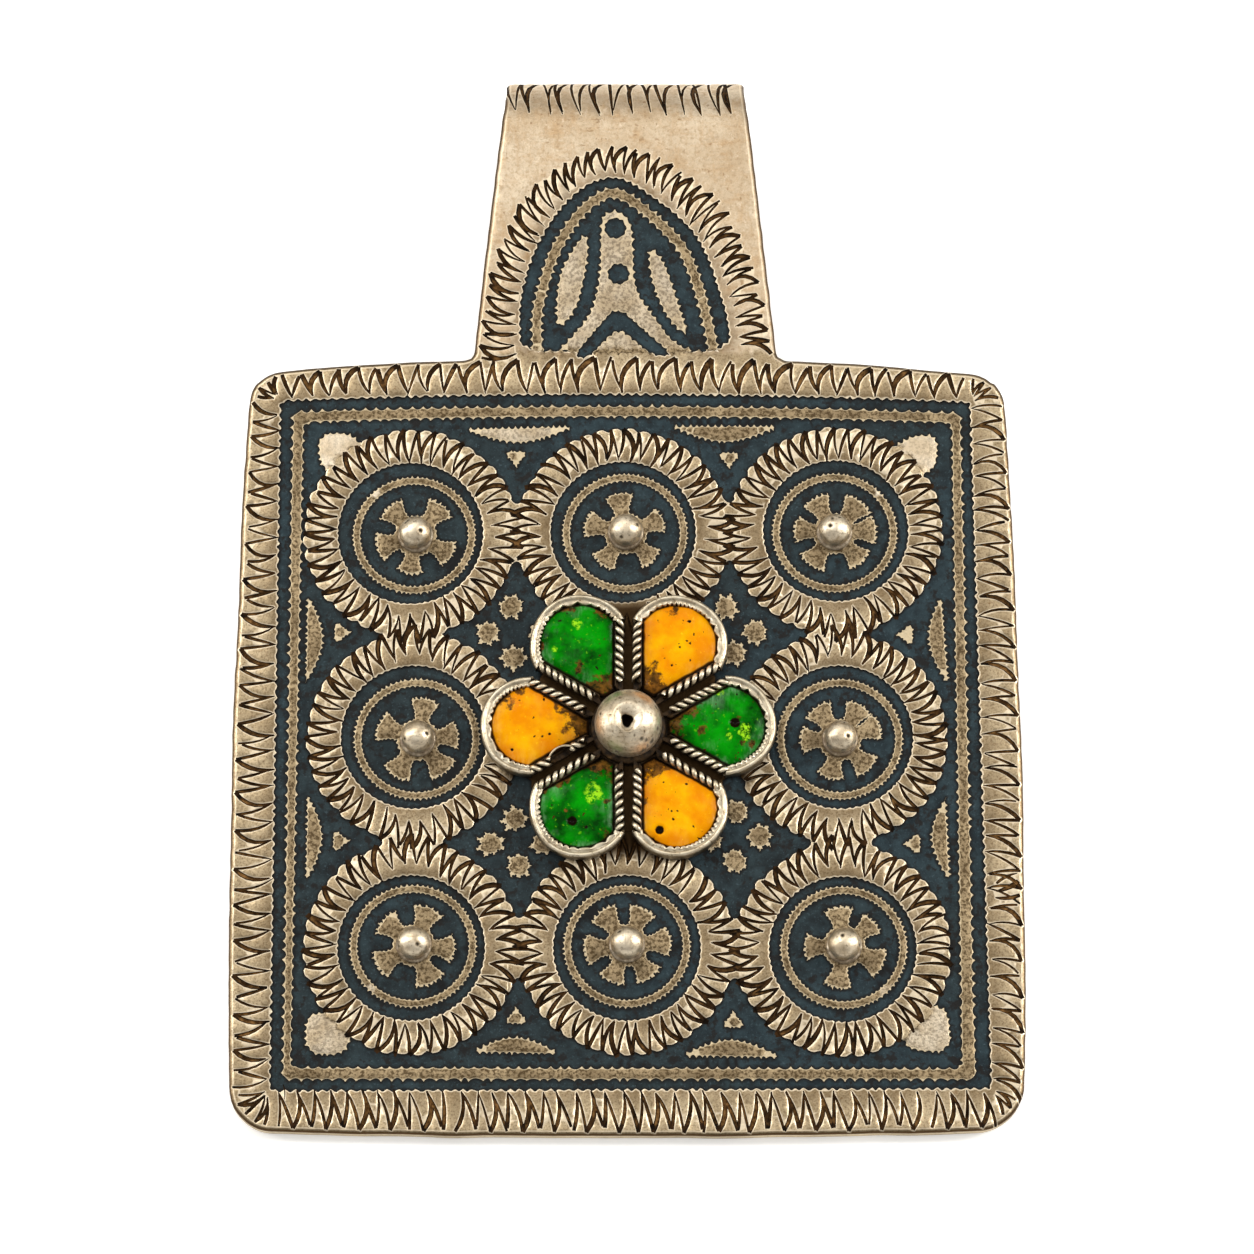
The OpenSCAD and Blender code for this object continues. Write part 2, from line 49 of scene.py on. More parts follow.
# The plate's outline: distances from the middle, how far sides and lower edge bow out, corner radii
BELOW = 30.6
ABOVE = 30.4
SIDE_BOW = 0.5
LOW_BOW = 0.35
HALF_BOTTOM = 30.35
HALF_TOP = 29.45
ARCH_R = 360.0  # of the upper edge
CORNERS = {"bl": 3.4, "br": 3.8, "tr": 3.1, "tl": 2.6}
SIDE_K = (HALF_BOTTOM - HALF_TOP) / (BELOW + ABOVE - 1)

# The strap as a developed sheet: s runs up the front, over the bend (S1), down its slope (S2) and
# through a small counter-bend (S3) to the soldered end (S4). Half widths at foot, top and end
BAIL_X = -0.14
FOOT_HALF = 11.9
TOP_HALF = 9.45
END_HALF = 7.2
BEND_Y = 48.9
BEND_R = 5.5
BEND_Z = PLATE_T - BEND_R
BEND_TURN = math.radians(205.213)
RUN = 17.573
EASE_R = 2.0
TAB = 3.41
S1 = BEND_Y + BEND_R * BEND_TURN
S2 = S1 + RUN
S3 = S2 + EASE_R * (BEND_TURN - math.pi)
S4 = S3 + TAB

# At rest the lower back edge and the bend's back touch the ground
LOW = BELOW + LOW_BOW
TILT = math.asin(BEND_R / math.hypot(BEND_Y + LOW, BEND_Z)) - math.atan2(BEND_Z, BEND_Y + LOW)
SHIFT_Y = (LOW * math.cos(TILT) + PLATE_T * math.sin(TILT) - BEND_Y * math.cos(TILT)
           + BEND_Z * math.sin(TILT) - BEND_R) / 2
SHIFT_Z = LOW * math.sin(TILT)

# Medallions: x, y, stud x, stud y, angles of the floret's petals
MEDALLIONS = [
    (-16.8, 16.3, -16.4, 16.1, (132, 50, 197, 261, 331)),
    (-0.3, 16.4, -0.1, 16.3, (100, 22, 165, 233, 315)),
    (16.2, 16.5, 16.1, 16.3, (118, 52, 173, 6, 233, 313)),
    (-16.4, 0.1, -16.1, -0.1, (80, 159, 8, 238, 310)),
    (16.4, 0.1, 16.4, -0.1, (125, 60, 20, 315, 255, 180)),
    (-16.5, -16.4, -16.3, -16.2, (140, 68, 355, 295, 210)),
    (0.0, -16.4, 0.0, -16.2, (126, 66, 6, 306, 246, 186)),
    (16.5, -16.5, 16.6, -16.3, (98, 40, 335, 260, 180))]
PITCH = 16.5
RING_R = 8.2
RING_HOLE = 5.65
ROSE = (0.1, 0.7)
# Slips of the graver and later scratches: from, to, half width
LOOSE_CUTS = [(30.0, -11.2, 28.3, -12.0, 0.2), (30.1, -12.3, 28.2, -12.5, 0.17),
              (28.3, -11.4, 29.9, -10.6, 0.12), (-26.16, -26.94, -26.07, -28.25, 0.05)]
ROW_STEP = 0.866  # between the rows of a grid of even triangles
CUT_AT_MOST = 0.2  # deep
# A graver's cut from its blunt head to its tip: half width and depth, as shares of the largest
CUT_WIDTH = (0.85, 1.0, 0.98, 0.88, 0.7, 0.32)
CUT_DEEP = (0.0, 0.95, 1.0, 0.9, 0.65, 0.0)


def to_row(points):
    """Plate frame in millimetres to the row frame in metres."""
    p = np.asarray(points, float).reshape(-1, 3)
    c, s = math.cos(TILT), math.sin(TILT)
    y = p[:, 1] * c - p[:, 2] * s + SHIFT_Y
    z = p[:, 1] * s + p[:, 2] * c + SHIFT_Z
    return np.stack([p[:, 0], y, z], 1) * 0.001


def sheet(x, s, h):
    """Developed sheet to plate frame: h is the height over the front, or over the strap's outside."""
    x, s, h = (np.asarray(v, float) for v in (x, s, h))
    y, z = s.copy(), PLATE_T + h
    n_end = np.array([math.sin(BEND_TURN), math.cos(BEND_TURN)])
    t_end = np.array([math.cos(BEND_TURN), -math.sin(BEND_TURN)])
    start = np.array([BEND_Y, BEND_Z])
    m = (s > BEND_Y) & (s <= S1)
    a = (s[m] - BEND_Y) / BEND_R
    y[m] = BEND_Y + (BEND_R + h[m]) * np.sin(a)
    z[m] = BEND_Z + (BEND_R + h[m]) * np.cos(a)
    m = (s > S1) & (s <= S2)
    for k, out in ((0, y), (1, z)):
        out[m] = start[k] + (BEND_R + h[m]) * n_end[k] + (s[m] - S1) * t_end[k]
    centre = start + BEND_R * n_end + RUN * t_end + EASE_R * n_end
    m = (s > S2) & (s <= S3)
    a = BEND_TURN - (s[m] - S2) / EASE_R
    y[m] = centre[0] - (EASE_R - h[m]) * np.sin(a)
    z[m] = centre[1] - (EASE_R - h[m]) * np.cos(a)
    m = s > S3
    y[m] = centre[0] - (s[m] - S3)
    z[m] = centre[1] + (EASE_R - h[m])
    return np.stack([x, y, z], 1)


def strap_half(s):
    y = sheet([0.0], [s], [0.0])[0, 1]
    if s < BEND_Y + BEND_R * math.pi / 2:
        return max(TOP_HALF, FOOT_HALF - (FOOT_HALF - TOP_HALF) / 22.2 * (y - ABOVE))
    return min(TOP_HALF, END_HALF + (TOP_HALF - END_HALF) / 26.2 * (y - ABOVE + 4))


def noise2(x, y, seed, scale):
    """Smooth seeded noise from a few rotated waves, about -1 to 1."""
    rng = random.Random(seed)
    out = np.zeros_like(np.asarray(x, float))
    for _ in range(7):
        a = rng.uniform(0, 2 * math.pi)
        k = 2 * math.pi / (scale * rng.uniform(0.7, 1.9))
        out = out + np.sin(k * (x * math.cos(a) + y * math.sin(a)) + rng.uniform(0, 6.3))
    return out / 4.0


# ---- Lines in the plane

def polar(cx, cy, r, a, ry=None):
    return cx + r * math.cos(a), cy + (ry or r) * math.sin(a)


def arc(cx, cy, r, a0, a1, n):
    return [polar(cx, cy, r, math.radians(a0 + (a1 - a0) * i / n)) for i in range(n + 1)]


def circle(cx, cy, r, n=90, ry=None):
    return [polar(cx, cy, r, 2 * math.pi * i / n, ry) for i in range(n)]


def measure(p):
    """Length along a line up to each of its points."""
    return np.append(0, np.cumsum(np.hypot(*np.diff(p, axis=0).T)))


def resample(points, step, closed=True):
    p = np.asarray(points, float)
    if closed:
        p = np.vstack([p, p[:1]])
    p = p[np.append(True, np.hypot(*np.diff(p, axis=0).T) > 1e-9)]
    length = measure(p)
    t = np.linspace(0, length[-1], max(3, int(round(length[-1] / step))) + 1)
    out = np.stack([np.interp(t, length, p[:, k]) for k in (0, 1)], 1)
    return out[:-1] if closed else out


def smooth(points, closed=True):
    """One round of corner cutting, for measured points."""
    p = [tuple(q) for q in points]
    out = [] if closed else [p[0]]
    for a, b in zip(p, p[1:] + p[:1] if closed else p[1:]):
        out.append((0.75 * a[0] + 0.25 * b[0], 0.75 * a[1] + 0.25 * b[1]))
        out.append((0.25 * a[0] + 0.75 * b[0], 0.25 * a[1] + 0.75 * b[1]))
    return out if closed else out + [p[-1]]


def normals(p, closed=True):
    if closed:
        d = np.roll(p, -1, 0) - np.roll(p, 1, 0)
    else:
        d = np.gradient(p, axis=0)
    d = d / np.maximum(np.hypot(d[:, 0], d[:, 1]), 1e-9)[:, None]
    return np.stack([d[:, 1], -d[:, 0]], 1)


def toothed(points, pitch, amp, seed, cusp=True):
    """A closed line with teeth. Going counter-clockwise they stand outward, with a negative amp inward."""
    m = max(4, round(pitch / 0.15))
    rng = random.Random(seed)
    base = resample(points, min(0.12, pitch / 4))
    loop = np.vstack([base, base[:1]])
    length = measure(loop)
    n = max(2, int(round(length[-1] / pitch)))
    cuts = [(i + (rng.uniform(-0.22, 0.22) if 0 < i < n else 0)) * length[-1] / n for i in range(n + 1)]
    peaks = [amp * rng.uniform(0.55, 1.45) for _ in range(n)]
    t, d = [], []
    for i in range(n):
        for k in range(m):
            u = k / m
            t.append(cuts[i] + u * (cuts[i + 1] - cuts[i]))
            if cusp:
                a = peaks[i] * (1 - u) + peaks[(i + 1) % n] * u
                d.append(a * (1 - 2 * abs(math.sin(math.pi * u)) ** 0.8))
            else:
                d.append(peaks[i] * math.cos(2 * math.pi * u))
    nrm = normals(base)
    nrm = np.vstack([nrm, nrm[:1]])
    return np.stack([np.interp(t, length, loop[:, k]) + d * np.interp(t, length, nrm[:, k])
                     for k in (0, 1)], 1)


def area(p):
    p = np.asarray(p)
    q = np.roll(p, -1, 0)
    return 0.5 * float(np.sum(p[:, 0] * q[:, 1] - q[:, 0] * p[:, 1]))


def ccw(p):
    """The loop, turned to go counter-clockwise."""
    p = [tuple(q) for q in p]
    return p if area(p) > 0 else p[::-1]


def winding(p, at):
    """How often a loop goes round a spot."""
    x, y = p[:, 0] - at[0], p[:, 1] - at[1]
    x2, y2 = np.roll(x, -1), np.roll(y, -1)
    turn = x * y2 - x2 * y
    return int(np.sum((y <= 0) & (y2 > 0) & (turn > 0))) - int(np.sum((y > 0) & (y2 <= 0) & (turn < 0)))


def doubled(verts, tris):
    """Twice the signed area of each triangle."""
    a, b, c = (verts[tris[:, i]] for i in range(3))
    return (b[:, 0] - a[:, 0]) * (c[:, 1] - a[:, 1]) - (b[:, 1] - a[:, 1]) * (c[:, 0] - a[:, 0])


def tree_of(points):
    tree = KDTree(len(points))
    for i, p in enumerate(points):
        tree.insert((p[0], p[1], 0), i)
    tree.balance()
    return tree


# ---- A plane sketch, painted region over region

class Sketch:
    def __init__(self):
        self.points, self.faces, self.kinds, self.edges, self.cuts = [], [], [], [], []

    def put(self, pts):
        """Add points and return their numbers."""
        self.points += [(float(a), float(b)) for a, b in pts]
        return list(range(len(self.points) - len(pts), len(self.points)))

    def region(self, pts, kind):
        self.faces.append(self.put(pts))
        self.kinds.append(kind)

    def teeth(self, kind, *args):
        self.region(toothed(*args), kind)

    def line(self, pts, closed=True):
        ids = self.put(pts)
        self.edges += zip(ids, ids[1:])
        if closed:
            self.edges.append((ids[-1], ids[0]))

    def cut(self, head, tip, bow, half, depth):
        """One graver's cut: a bent wedge with a line along its bottom."""
        head, tip = np.asarray(head, float), np.asarray(tip, float)
        d = tip - head
        side = np.array([-d[1], d[0]])
        axis, left, right = [], [], []
        for i, w in enumerate(CUT_WIDTH):
            t = i / (len(CUT_WIDTH) - 1)
            q = head + d * t + side * (2 * bow * t * (1 - t))
            along = d + side * (2 * bow * (1 - 2 * t))
            across = np.array([-along[1], along[0]]) / np.hypot(*along) * half * w
            axis.append(q)
            left.append(q + across)
            right.append(q - across)
        self.region(left[2::-1] + right + left[:2:-1], "cut")
        self.line(axis[1:-1], False)
        self.cuts.append((np.array(axis), np.array(CUT_WIDTH) * half, np.array(CUT_DEEP) * depth))

    def last_edges(self, i):
        """Short edges of a region that have its inside on their left and its outside on their right."""
        p = np.array([self.points[j] for j in self.faces[i]])
        q = np.roll(p, -1, 0)
        mid, d = (p + q) / 2, q - p
        long = np.hypot(d[:, 0], d[:, 1])
        probe, too_short, far_back = 0.02, 0.03, 9
        side = np.stack([-d[:, 1], d[:, 0]], 1) / np.maximum(long, 1e-9)[:, None] * probe
        good = []
        for k in np.argsort(np.where(long < too_short, far_back, long), kind="stable"):
            if winding(p, mid[k] + side[k]) == 1 and winding(p, mid[k] - side[k]) == 0:
                good.append(int(k))
            if len(good) == 40:
                break
        return good

    def solve(self):
        """Triangulate. A region is filled from its last edge, so one whose filled area is wrong
        is turned to end with another of its edges, and all is done again."""
        want = [area([self.points[j] for j in f]) for f in self.faces]
        options, first = {}, {}
        for _ in range(7):
            out = delaunay_2d_cdt([Vector(p) for p in self.points], self.edges, self.faces, 0, 1e-4, True)
            verts = np.array([tuple(v) for v in out[0]])
            got = np.zeros(len(self.faces))
            for ids, size in zip(out[5], abs(doubled(verts, np.array([tuple(f) for f in out[2]]))) / 2):
                for i in ids:
                    got[i] += size
            bad = [i for i, w in enumerate(want) if abs(got[i] - w) > 0.12 * w + 0.004]
            if not bad:
                break
            for i in bad:
                if i not in options:
                    options[i] = self.last_edges(i)
                    random.Random(i).shuffle(options[i])
                if options[i]:
                    k = options[i].pop()
                    f = first.setdefault(i, list(self.faces[i]))
                    self.faces[i] = f[k + 1:] + f[:k + 1]
        leaky = {i for i in bad if got[i] > 1.5 * want[i] + 0.05}
        tris, kind, cut = [], [], []
        for f, ids in zip(out[2], out[5]):
            ids = [i for i in ids if i not in leaky]
            solid = [i for i in ids if self.kinds[i] != "cut"]
            k = self.kinds[max(solid)] if solid else "hole"
            if k != "hole":
                tris.append(tuple(f))
                kind.append(k)
                cut.append(len(solid) < len(ids))
        tris = np.array(tris)
        flip = doubled(verts, tris) < 0
        tris[flip] = tris[flip][:, ::-1]
        return verts, tris, np.array(kind), np.array(cut)


def half_side(y):
    return HALF_BOTTOM - SIDE_K * (y + BELOW)


def bow(y):
    """How far a side stands out over its straight line."""
    return SIDE_BOW * max(0.0, 1 - (y / 27.5) ** 2)


def top_y(x):
    return ABOVE - ARCH_R + math.sqrt(ARCH_R ** 2 - x * x)


def low_y(x):
    return -BELOW - LOW_BOW * (1 - (x / 26.9) ** 2)


def outline():
    """The whole sheet's outline, counter-clockwise from the plate's lower left."""
    bl, br, tr, tl = (CORNERS[n] for n in ("bl", "br", "tr", "tl"))
    lean = math.degrees(math.atan(SIDE_K))
    pts = arc(-half_side(-BELOW + bl) + bl, -BELOW + bl, bl, 180 - lean, 270, 10)
    pts += [(x, low_y(x)) for x in np.linspace(-25.5, 25.2, 40)]
    pts += arc(half_side(-BELOW + br) - br, -BELOW + br, br, 270, 360 + lean, 10)
    pts += [(half_side(y) + bow(y), y) for y in np.linspace(-25.6, 25.6, 40)]
    xr = half_side(top_y(29) - tr) - tr
    yr = top_y(xr) - tr - 0.02
    pts += arc(xr, yr, tr, lean, 86, 9)
    r = 0.9
    fx = FOOT_HALF - 0.09 + r
    fy = top_y(fx) + r
    pts += [(x, top_y(x)) for x in np.linspace(xr - 1, fx + BAIL_X + 0.3, 24)]
    strap = arc(fx, fy, r, 270, 182, 6)
    strap += [(strap_half(s), s) for s in np.arange(fy + 0.6, S4 - 1.3, 0.6)]
    e = strap_half(S4)
    strap += arc(e - 1.1, S4 - 1.1, 1.1, 0, 90, 5)
    pts += [(x + BAIL_X, s) for x, s in strap]
    pts += [(BAIL_X - x, s) for x, s in strap[::-1]]
    xl = half_side(top_y(29) - tl) - tl
    yl = top_y(xl) - tl - 0.02
    pts += [(-x, top_y(x)) for x in np.linspace(xl - 1, fx - BAIL_X + 0.3, 24)[::-1]]
    pts += arc(-xl, yl, tl, 94, 180 - lean, 8)
    pts += [(-half_side(y) - bow(y), y) for y in np.linspace(25.6, -25.6, 40)]
    p = resample(pts, 0.28)
    n = normals(p)
    wob = 0.05 * noise2(p[:, 0], p[:, 1], 5, 9.0) + 0.025 * noise2(p[:, 0], p[:, 1], 6, 2.3)
    wob = np.where(p[:, 1] > BEND_Y + 3, 0.4 * wob, wob) - 0.03
    rise = np.interp(p[:, 0], (-28, -25, -21, -12, 12, 16, 20, 26),
                     (-0.05, 0.1, 0.15, 0.08, 0.1, 0.06, -0.03, -0.14))
    wob = wob + np.where((p[:, 1] > 28.5) & (p[:, 1] < 30.6) & (n[:, 1] > 0.7), rise, 0.0)
    return p + n * wob[:, None]


def inset(p, d):
    return p - normals(p) * d


def band_corners(tl, tr, br, bl, top, r):
    """A four-sided loop with a slightly arched top and rounded corners, counter-clockwise."""
    pts = []
    cs = [bl, br, tr, tl]
    for i, c in enumerate(cs):
        a, b = np.array(cs[i - 1]), np.array(cs[(i + 1) % 4])
        c = np.array(c)
        da, db = (a - c) / np.hypot(*(a - c)), (b - c) / np.hypot(*(b - c))
        for t in (0, 0.25, 0.5, 0.75, 1):
            w0, w1, w2 = (1 - t) ** 2, 2 * t * (1 - t), t * t
            pts.append(tuple(w0 * (c + da * r) + w1 * c + w2 * (c + db * r)))
        if i == 2:
            x0, x1 = tr[0] - r, tl[0] + r
            for t in np.linspace(0.06, 0.94, 16):
                x = x0 + (x1 - x0) * t
                flat = tr[1] + (tl[1] - tr[1]) * t
                pts.append((x, flat + (top - 0.5 * (tr[1] + tl[1])) * (1 - (2 * t - 1) ** 2)))
    return pts


def star(cx, cy, r, seed):
    rng = random.Random(seed)
    pts = []
    turn = rng.uniform(0, 0.5)
    for i in range(16):
        a = math.pi * i / 8 + turn + rng.uniform(-0.06, 0.06)
        rr = r * (rng.uniform(0.92, 1.25) if i % 2 == 0 else rng.uniform(0.66, 0.82))
        pts.append(polar(cx, cy, rr, a))
    return pts


def floret_petal(cx, cy, a, seed):
    """A fan with a toothed end, from the floret's middle outward."""
    rng = random.Random(seed)
    reach = rng.uniform(3.15, 3.5)
    tip = rng.uniform(0.98, 1.16)
    side = [(0.9, 0.5), (1.6, 0.5), (2.05, 0.56), (2.4, 0.7), (2.75, 0.88)]
    pts = [(u, -w * tip / 0.9) for u, w in side]
    n = rng.choice((5, 6))
    for i in range(n + 1):
        t = -1 + 2 * i / n
        out = reach - 0.28 * t * t + rng.uniform(-0.06, 0.06)
        pts.append((out, t * tip * rng.uniform(1.0, 1.12)))
        if i < n:
            t2 = t + 1 / n
            pts.append((reach - 0.28 * t2 * t2 - rng.uniform(0.16, 0.3), t2 * tip))
    pts += [(u, w * tip / 0.9) for u, w in side[::-1]]
    c, s = math.cos(math.radians(a)), math.sin(math.radians(a))
    out = [(cx + u * c - v * s, cy + u * s + v * c) for u, v in pts]
    return toothed(out, 0.33, 0.045, seed + 1)


def zigzag(sk, outer, inner, n, seed, heavy=0.2, light=0.125, bow=0.35, lean=0.5, hand=1):
    """A rocked row along two lines given as functions of 0..1, going counter-clockwise: heads on the
    outer line, strong and weak by turns, and tips on the inner one. A strong head has a thick bent arm
    on the side of hand. heavy and light are half widths."""
    rng = random.Random(seed)
    first = rng.randint(0, 1)
    strong = [(i + first) % 2 == 0 for i in range(n + 1)]
    tips = [np.array(inner((i + lean + rng.uniform(-0.15, 0.15)) / n, rng)) for i in range(n)]
    for i, s in enumerate(strong):
        u = i + rng.uniform(-0.1, 0.1) + (0.0 if s else 0.14 * hand)
        head = np.array(outer(u / n, rng))
        for k, side in ((i - 1, -1), (i, 1)):
            if not 0 <= k < n or rng.random() < 0.01:
                continue
            bent = s and side == hand
            half = light * rng.uniform(0.7, 1.3)
            if s:
                half = heavy * (rng.uniform(0.85, 1.2) if bent else rng.uniform(0.5, 0.85))
            b = bow * (rng.uniform(0.6, 1.3) if bent else rng.uniform(0.0, 0.6))
            start = head + (tips[k] - head) * (0.0 if s else rng.uniform(0.0, 0.14))
            end = tips[k] + (tips[k] - head) * rng.uniform(-0.05, 0.06)
            sk.cut(start, end, -hand * b, half,
                   CUT_AT_MOST * rng.uniform(0.75, 1.1) * min(1.0, half / heavy + 0.3))


def path_fn(points, jitter):
    """A function of 0..1 along a line, with a little jitter."""
    p = resample(points, 0.1, False)

    def at(u, rng):
        x = min(max(u, 0.0), 1.0) * (len(p) - 1)
        i = min(int(x), len(p) - 2)
        a = p[i] + (p[i + 1] - p[i]) * (x - i)
        return (a[0] + rng.uniform(-jitter, jitter), a[1] + rng.uniform(-jitter, jitter))
    return at


def draw_front():
    sk = Sketch()
    edge = outline()
    sk.region(edge, "band")
    for d in (0.1, 0.28):
        sk.line(inset(edge, d))

    # Border: dark line, light line and the dark field
    b1 = band_corners((-27.04, 26.99), (26.77, 26.87), (27.73, -27.3), (-27.18, -27.47), 27.5, 0.5)
    b2 = band_corners((-26.15, 26.2), (26.1, 26.1), (26.6, -26.65), (-26.3, -26.65), 26.64, 0.6)
    b3 = band_corners((-25.1, 25.15), (25.2, 25.13), (25.4, -25.62), (-25.5, -25.55), 25.59, 0.5)
    sk.teeth("niello_border_line", b1, 0.72, -0.09, 11, False)
    sk.line(inset(resample(b1, 0.3), 0.42))
    sk.teeth("light", inset(np.array(b2), 0.07), 0.86, 0.12, 12)
    sk.line(inset(resample(b2, 0.25), 0.48))
    sk.teeth("niello_field", inset(np.array(b3), -0.1), 0.8, -0.1, 13)

    # Marks along the light line: chord ends and the bulge's reach
    lenses = [((-12.62, 24.71), (-4.16, 24.93), (-8.4, 23.6)), ((3.44, 24.95), (11.87, 24.95), (7.6, 23.65)),
              ((-24.77, 11.39), (-24.8, 4.47), (-23.5, 7.9)),
              ((-24.59, -4.47), (-24.62, -11.18), (-23.4, -7.8)),
              ((24.35, 11.31), (24.83, 4.25), (23.3, 7.8)), ((24.5, -4.67), (24.76, -11.18), (23.35, -7.9)),
              ((-11.82, -24.48), (-5.19, -24.59), (-8.5, -23.3)),
              ((4.17, -24.76), (11.71, -24.87), (7.9, -23.5))]
    for i, lens in enumerate(lenses):
        a, b, c = np.array(lens)
        mid = (a + b) / 2
        pts = [a + (b - a) * t + (c - mid) * (1 - abs(2 * t - 1) ** 1.7) for t in np.linspace(0, 1, 14)]
        sk.teeth("light", ccw(pts), 0.5, 0.1, 30 + i)
    # Buds that point at the middle
    for i, (x, y) in enumerate([(-8.64, 22.34), (7.95, 22.24), (-22.05, 8.41), (-21.98, -8.04), (21.54, 8.23),
                                (21.93, -8.27), (-8.46, -21.69), (8.11, -21.99)]):
        turn = round(math.atan2(-y, -x) / (math.pi / 2)) * math.pi / 2
        c, s = math.cos(turn), math.sin(turn)
        pts = [(x + 0.85 * (u * c - v * s), y + 0.85 * (u * s + v * c)) for u, v in (
            (1.0, 0.0), (0.3, 0.28), (-0.35, 0.95), (-0.7, 0.6), (-0.62, 0.0), (-0.72, -0.62), (-0.3, -0.95),
            (0.25, -0.3))]
        sk.teeth("light", smooth(ccw(pts)), 0.36, 0.05, 50 + i)
    stars = [(-9.01, 10.43), (-10.76, 8.41), (-8.78, 6.38), (-6.6, 8.3), (7.68, 10.4), (9.9, 8.46),
             (8.34, 6.75), (6.3, 8.4), (-10.47, -8.25), (-8.31, -10.03), (-8.63, -6.36), (-6.4, -8.2),
             (10.15, -7.71), (8.27, -9.62), (8.4, -5.79), (6.4, -7.9)]
    for i, (x, y) in enumerate(stars):
        sk.teeth("light", star(x, y, 1.0, 70 + i), 0.3, 0.05, 90 + i)
    patches = [[(-24.0, 24.3), (-21.7, 24.4), (-20.9, 23.7), (-19.6, 22.4), (-21.6, 20.0), (-23.2, 21.2),
                (-24.0, 22.1)],
               [(20.4, 22.9), (21.2, 23.6), (22.4, 24.2), (24.2, 24.2), (24.1, 21.9), (23.5, 21.3),
                (21.8, 20.0)],
               [(-24.5, -21.6), (-24.5, -24.6), (-21.6, -24.7), (-21.0, -23.2), (-19.8, -21.4), (-21.8, -20.2),
                (-22.9, -21.4)],
               [(24.5, -21.3), (24.7, -24.5), (21.5, -24.3), (21.0, -23.3), (20.0, -21.6), (21.8, -20.2),
                (23.6, -20.9)]]
    for i, p in enumerate(patches):
        sk.teeth("light", smooth(ccw(p)), 0.5, 0.09, 110 + i)

    # Rings, with necks between neighbours
    centres = [(m[0], m[1]) for m in MEDALLIONS] + [(0.0, 0.0)]
    grid = {(round(x / PITCH), round(y / PITCH)): (x, y) for x, y in centres}
    for (i, j), (x, y) in sorted(grid.items()):
        for di, dj in ((1, 0), (0, 1)):
            if (i + di, j + dj) in grid:
                x2, y2 = grid[(i + di, j + dj)]
                mx, my = (x + x2) / 2, (y + y2) / 2
                pts = [(v, 2.3 + 1.1 * (v / 0.85) ** 2) for v in np.linspace(-0.85, 0.85, 11)]
                pts += [(-v, -w) for v, w in pts]
                if dj:
                    pts = [(w, v) for v, w in pts]
                sk.region(ccw([(mx + a, my + b) for a, b in pts]), "band")
    counts = [random.Random(500 + i).choice((40, 42, 44)) for i in range(9)]
    for i, (x, y) in enumerate(centres):
        rng = random.Random(130 + i)
        lobes = [rng.uniform(-0.1, 0.09) for _ in range(counts[i])]
        pts = []
        for k in range(counts[i] * 6):
            u = k / 6
            notch = abs(math.cos(math.pi * u)) ** 4
            r = RING_R + 0.1 + lobes[int(u)] * (1 - notch) - 0.24 * notch
            a = 2 * math.pi * u / counts[i]
            pts.append(polar(x, y, r, a))
        sk.region(pts, "band")
    for i, (x, y, sx, sy, petals) in enumerate(MEDALLIONS):
        name = f"niello_medallion_{i + 1}"
        sk.teeth(name, circle(x, y, RING_HOLE), 0.55, -0.05, 150 + i, False)
        sk.line(circle(x, y, RING_HOLE - 0.4, 110))
        rx = 4.76 if i == 0 else 4.85
        ry = rx * 0.98
        cx, cy = (x * 0.3 + sx * 0.7, y * 0.3 + sy * 0.7)
        sk.teeth("light", circle(cx, cy, rx, 90, ry), 0.4, 0.085, 170 + i)
        sk.teeth(name, circle(cx, cy, rx - 0.58, 90, ry - 0.58), 0.4, -0.055, 190 + i)
        sk.line(circle(cx, cy, rx - 0.29, 140, ry - 0.29))
        for k, a in enumerate(petals):
            sk.region(floret_petal(sx, sy, a, 210 + 10 * i + k), "light")
        sk.teeth("light", circle(sx, sy, 1.62), 0.4, 0.06, 300 + i, False)

    # The arch on the strap
    arch = [(-8.3, 31.1), (-8.42, 33.0), (-8.38, 35.18), (-7.67, 38.18), (-6.56, 40.68), (-5.12, 42.86),
            (-3.36, 44.53), (-1.91, 45.12), (-0.79, 45.21), (0.49, 44.7), (2.1, 43.53), (3.7, 42.35),
            (5.46, 40.51), (6.57, 38.18), (7.2, 36.01), (7.84, 34.01), (8.15, 31.2), (4.0, 31.0), (0.0, 31.15),
            (-4.0, 30.95)]
    sk.teeth("niello_bail_arch", ccw(smooth(arch)), 0.62, -0.09, 320, False)
    mid = [(-6.95, 30.4), (-7.01, 31.03), (-7.1, 34.01), (-6.54, 36.51), (-5.75, 39.01), (-4.63, 41.02),
           (-3.36, 42.69), (-2.07, 43.7), (-1.11, 44.03), (0.17, 43.53), (1.61, 42.35), (2.9, 41.18),
           (4.33, 39.51), (5.13, 37.68), (5.76, 35.68), (6.24, 33.68), (6.71, 31.36), (6.75, 30.4)]
    mid = resample(smooth(mid, False), 0.2, False)
    off = normals(mid, False) * 0.42
    for pts, amp, kind in ((mid - off, 0.12, "light"), (mid + off, -0.12, "niello_bail_arch")):
        pts[:, 1] = np.maximum(pts[:, 1], 30.9 if kind == "light" else 31.05)
        sk.teeth(kind, ccw(pts), 0.72, amp, 321)
    left = [(-3.19, 40.85), (-3.03, 39.01), (-3.35, 37.01), (-3.98, 34.35), (-5.42, 32.7), (-5.58, 34.68),
            (-5.27, 37.34), (-4.47, 39.01)]
    right = [(1.69, 39.6), (2.73, 38.68), (3.53, 36.51), (4.16, 34.51), (4.85, 32.2), (3.68, 33.02),
             (2.57, 34.85), (1.77, 37.34)]
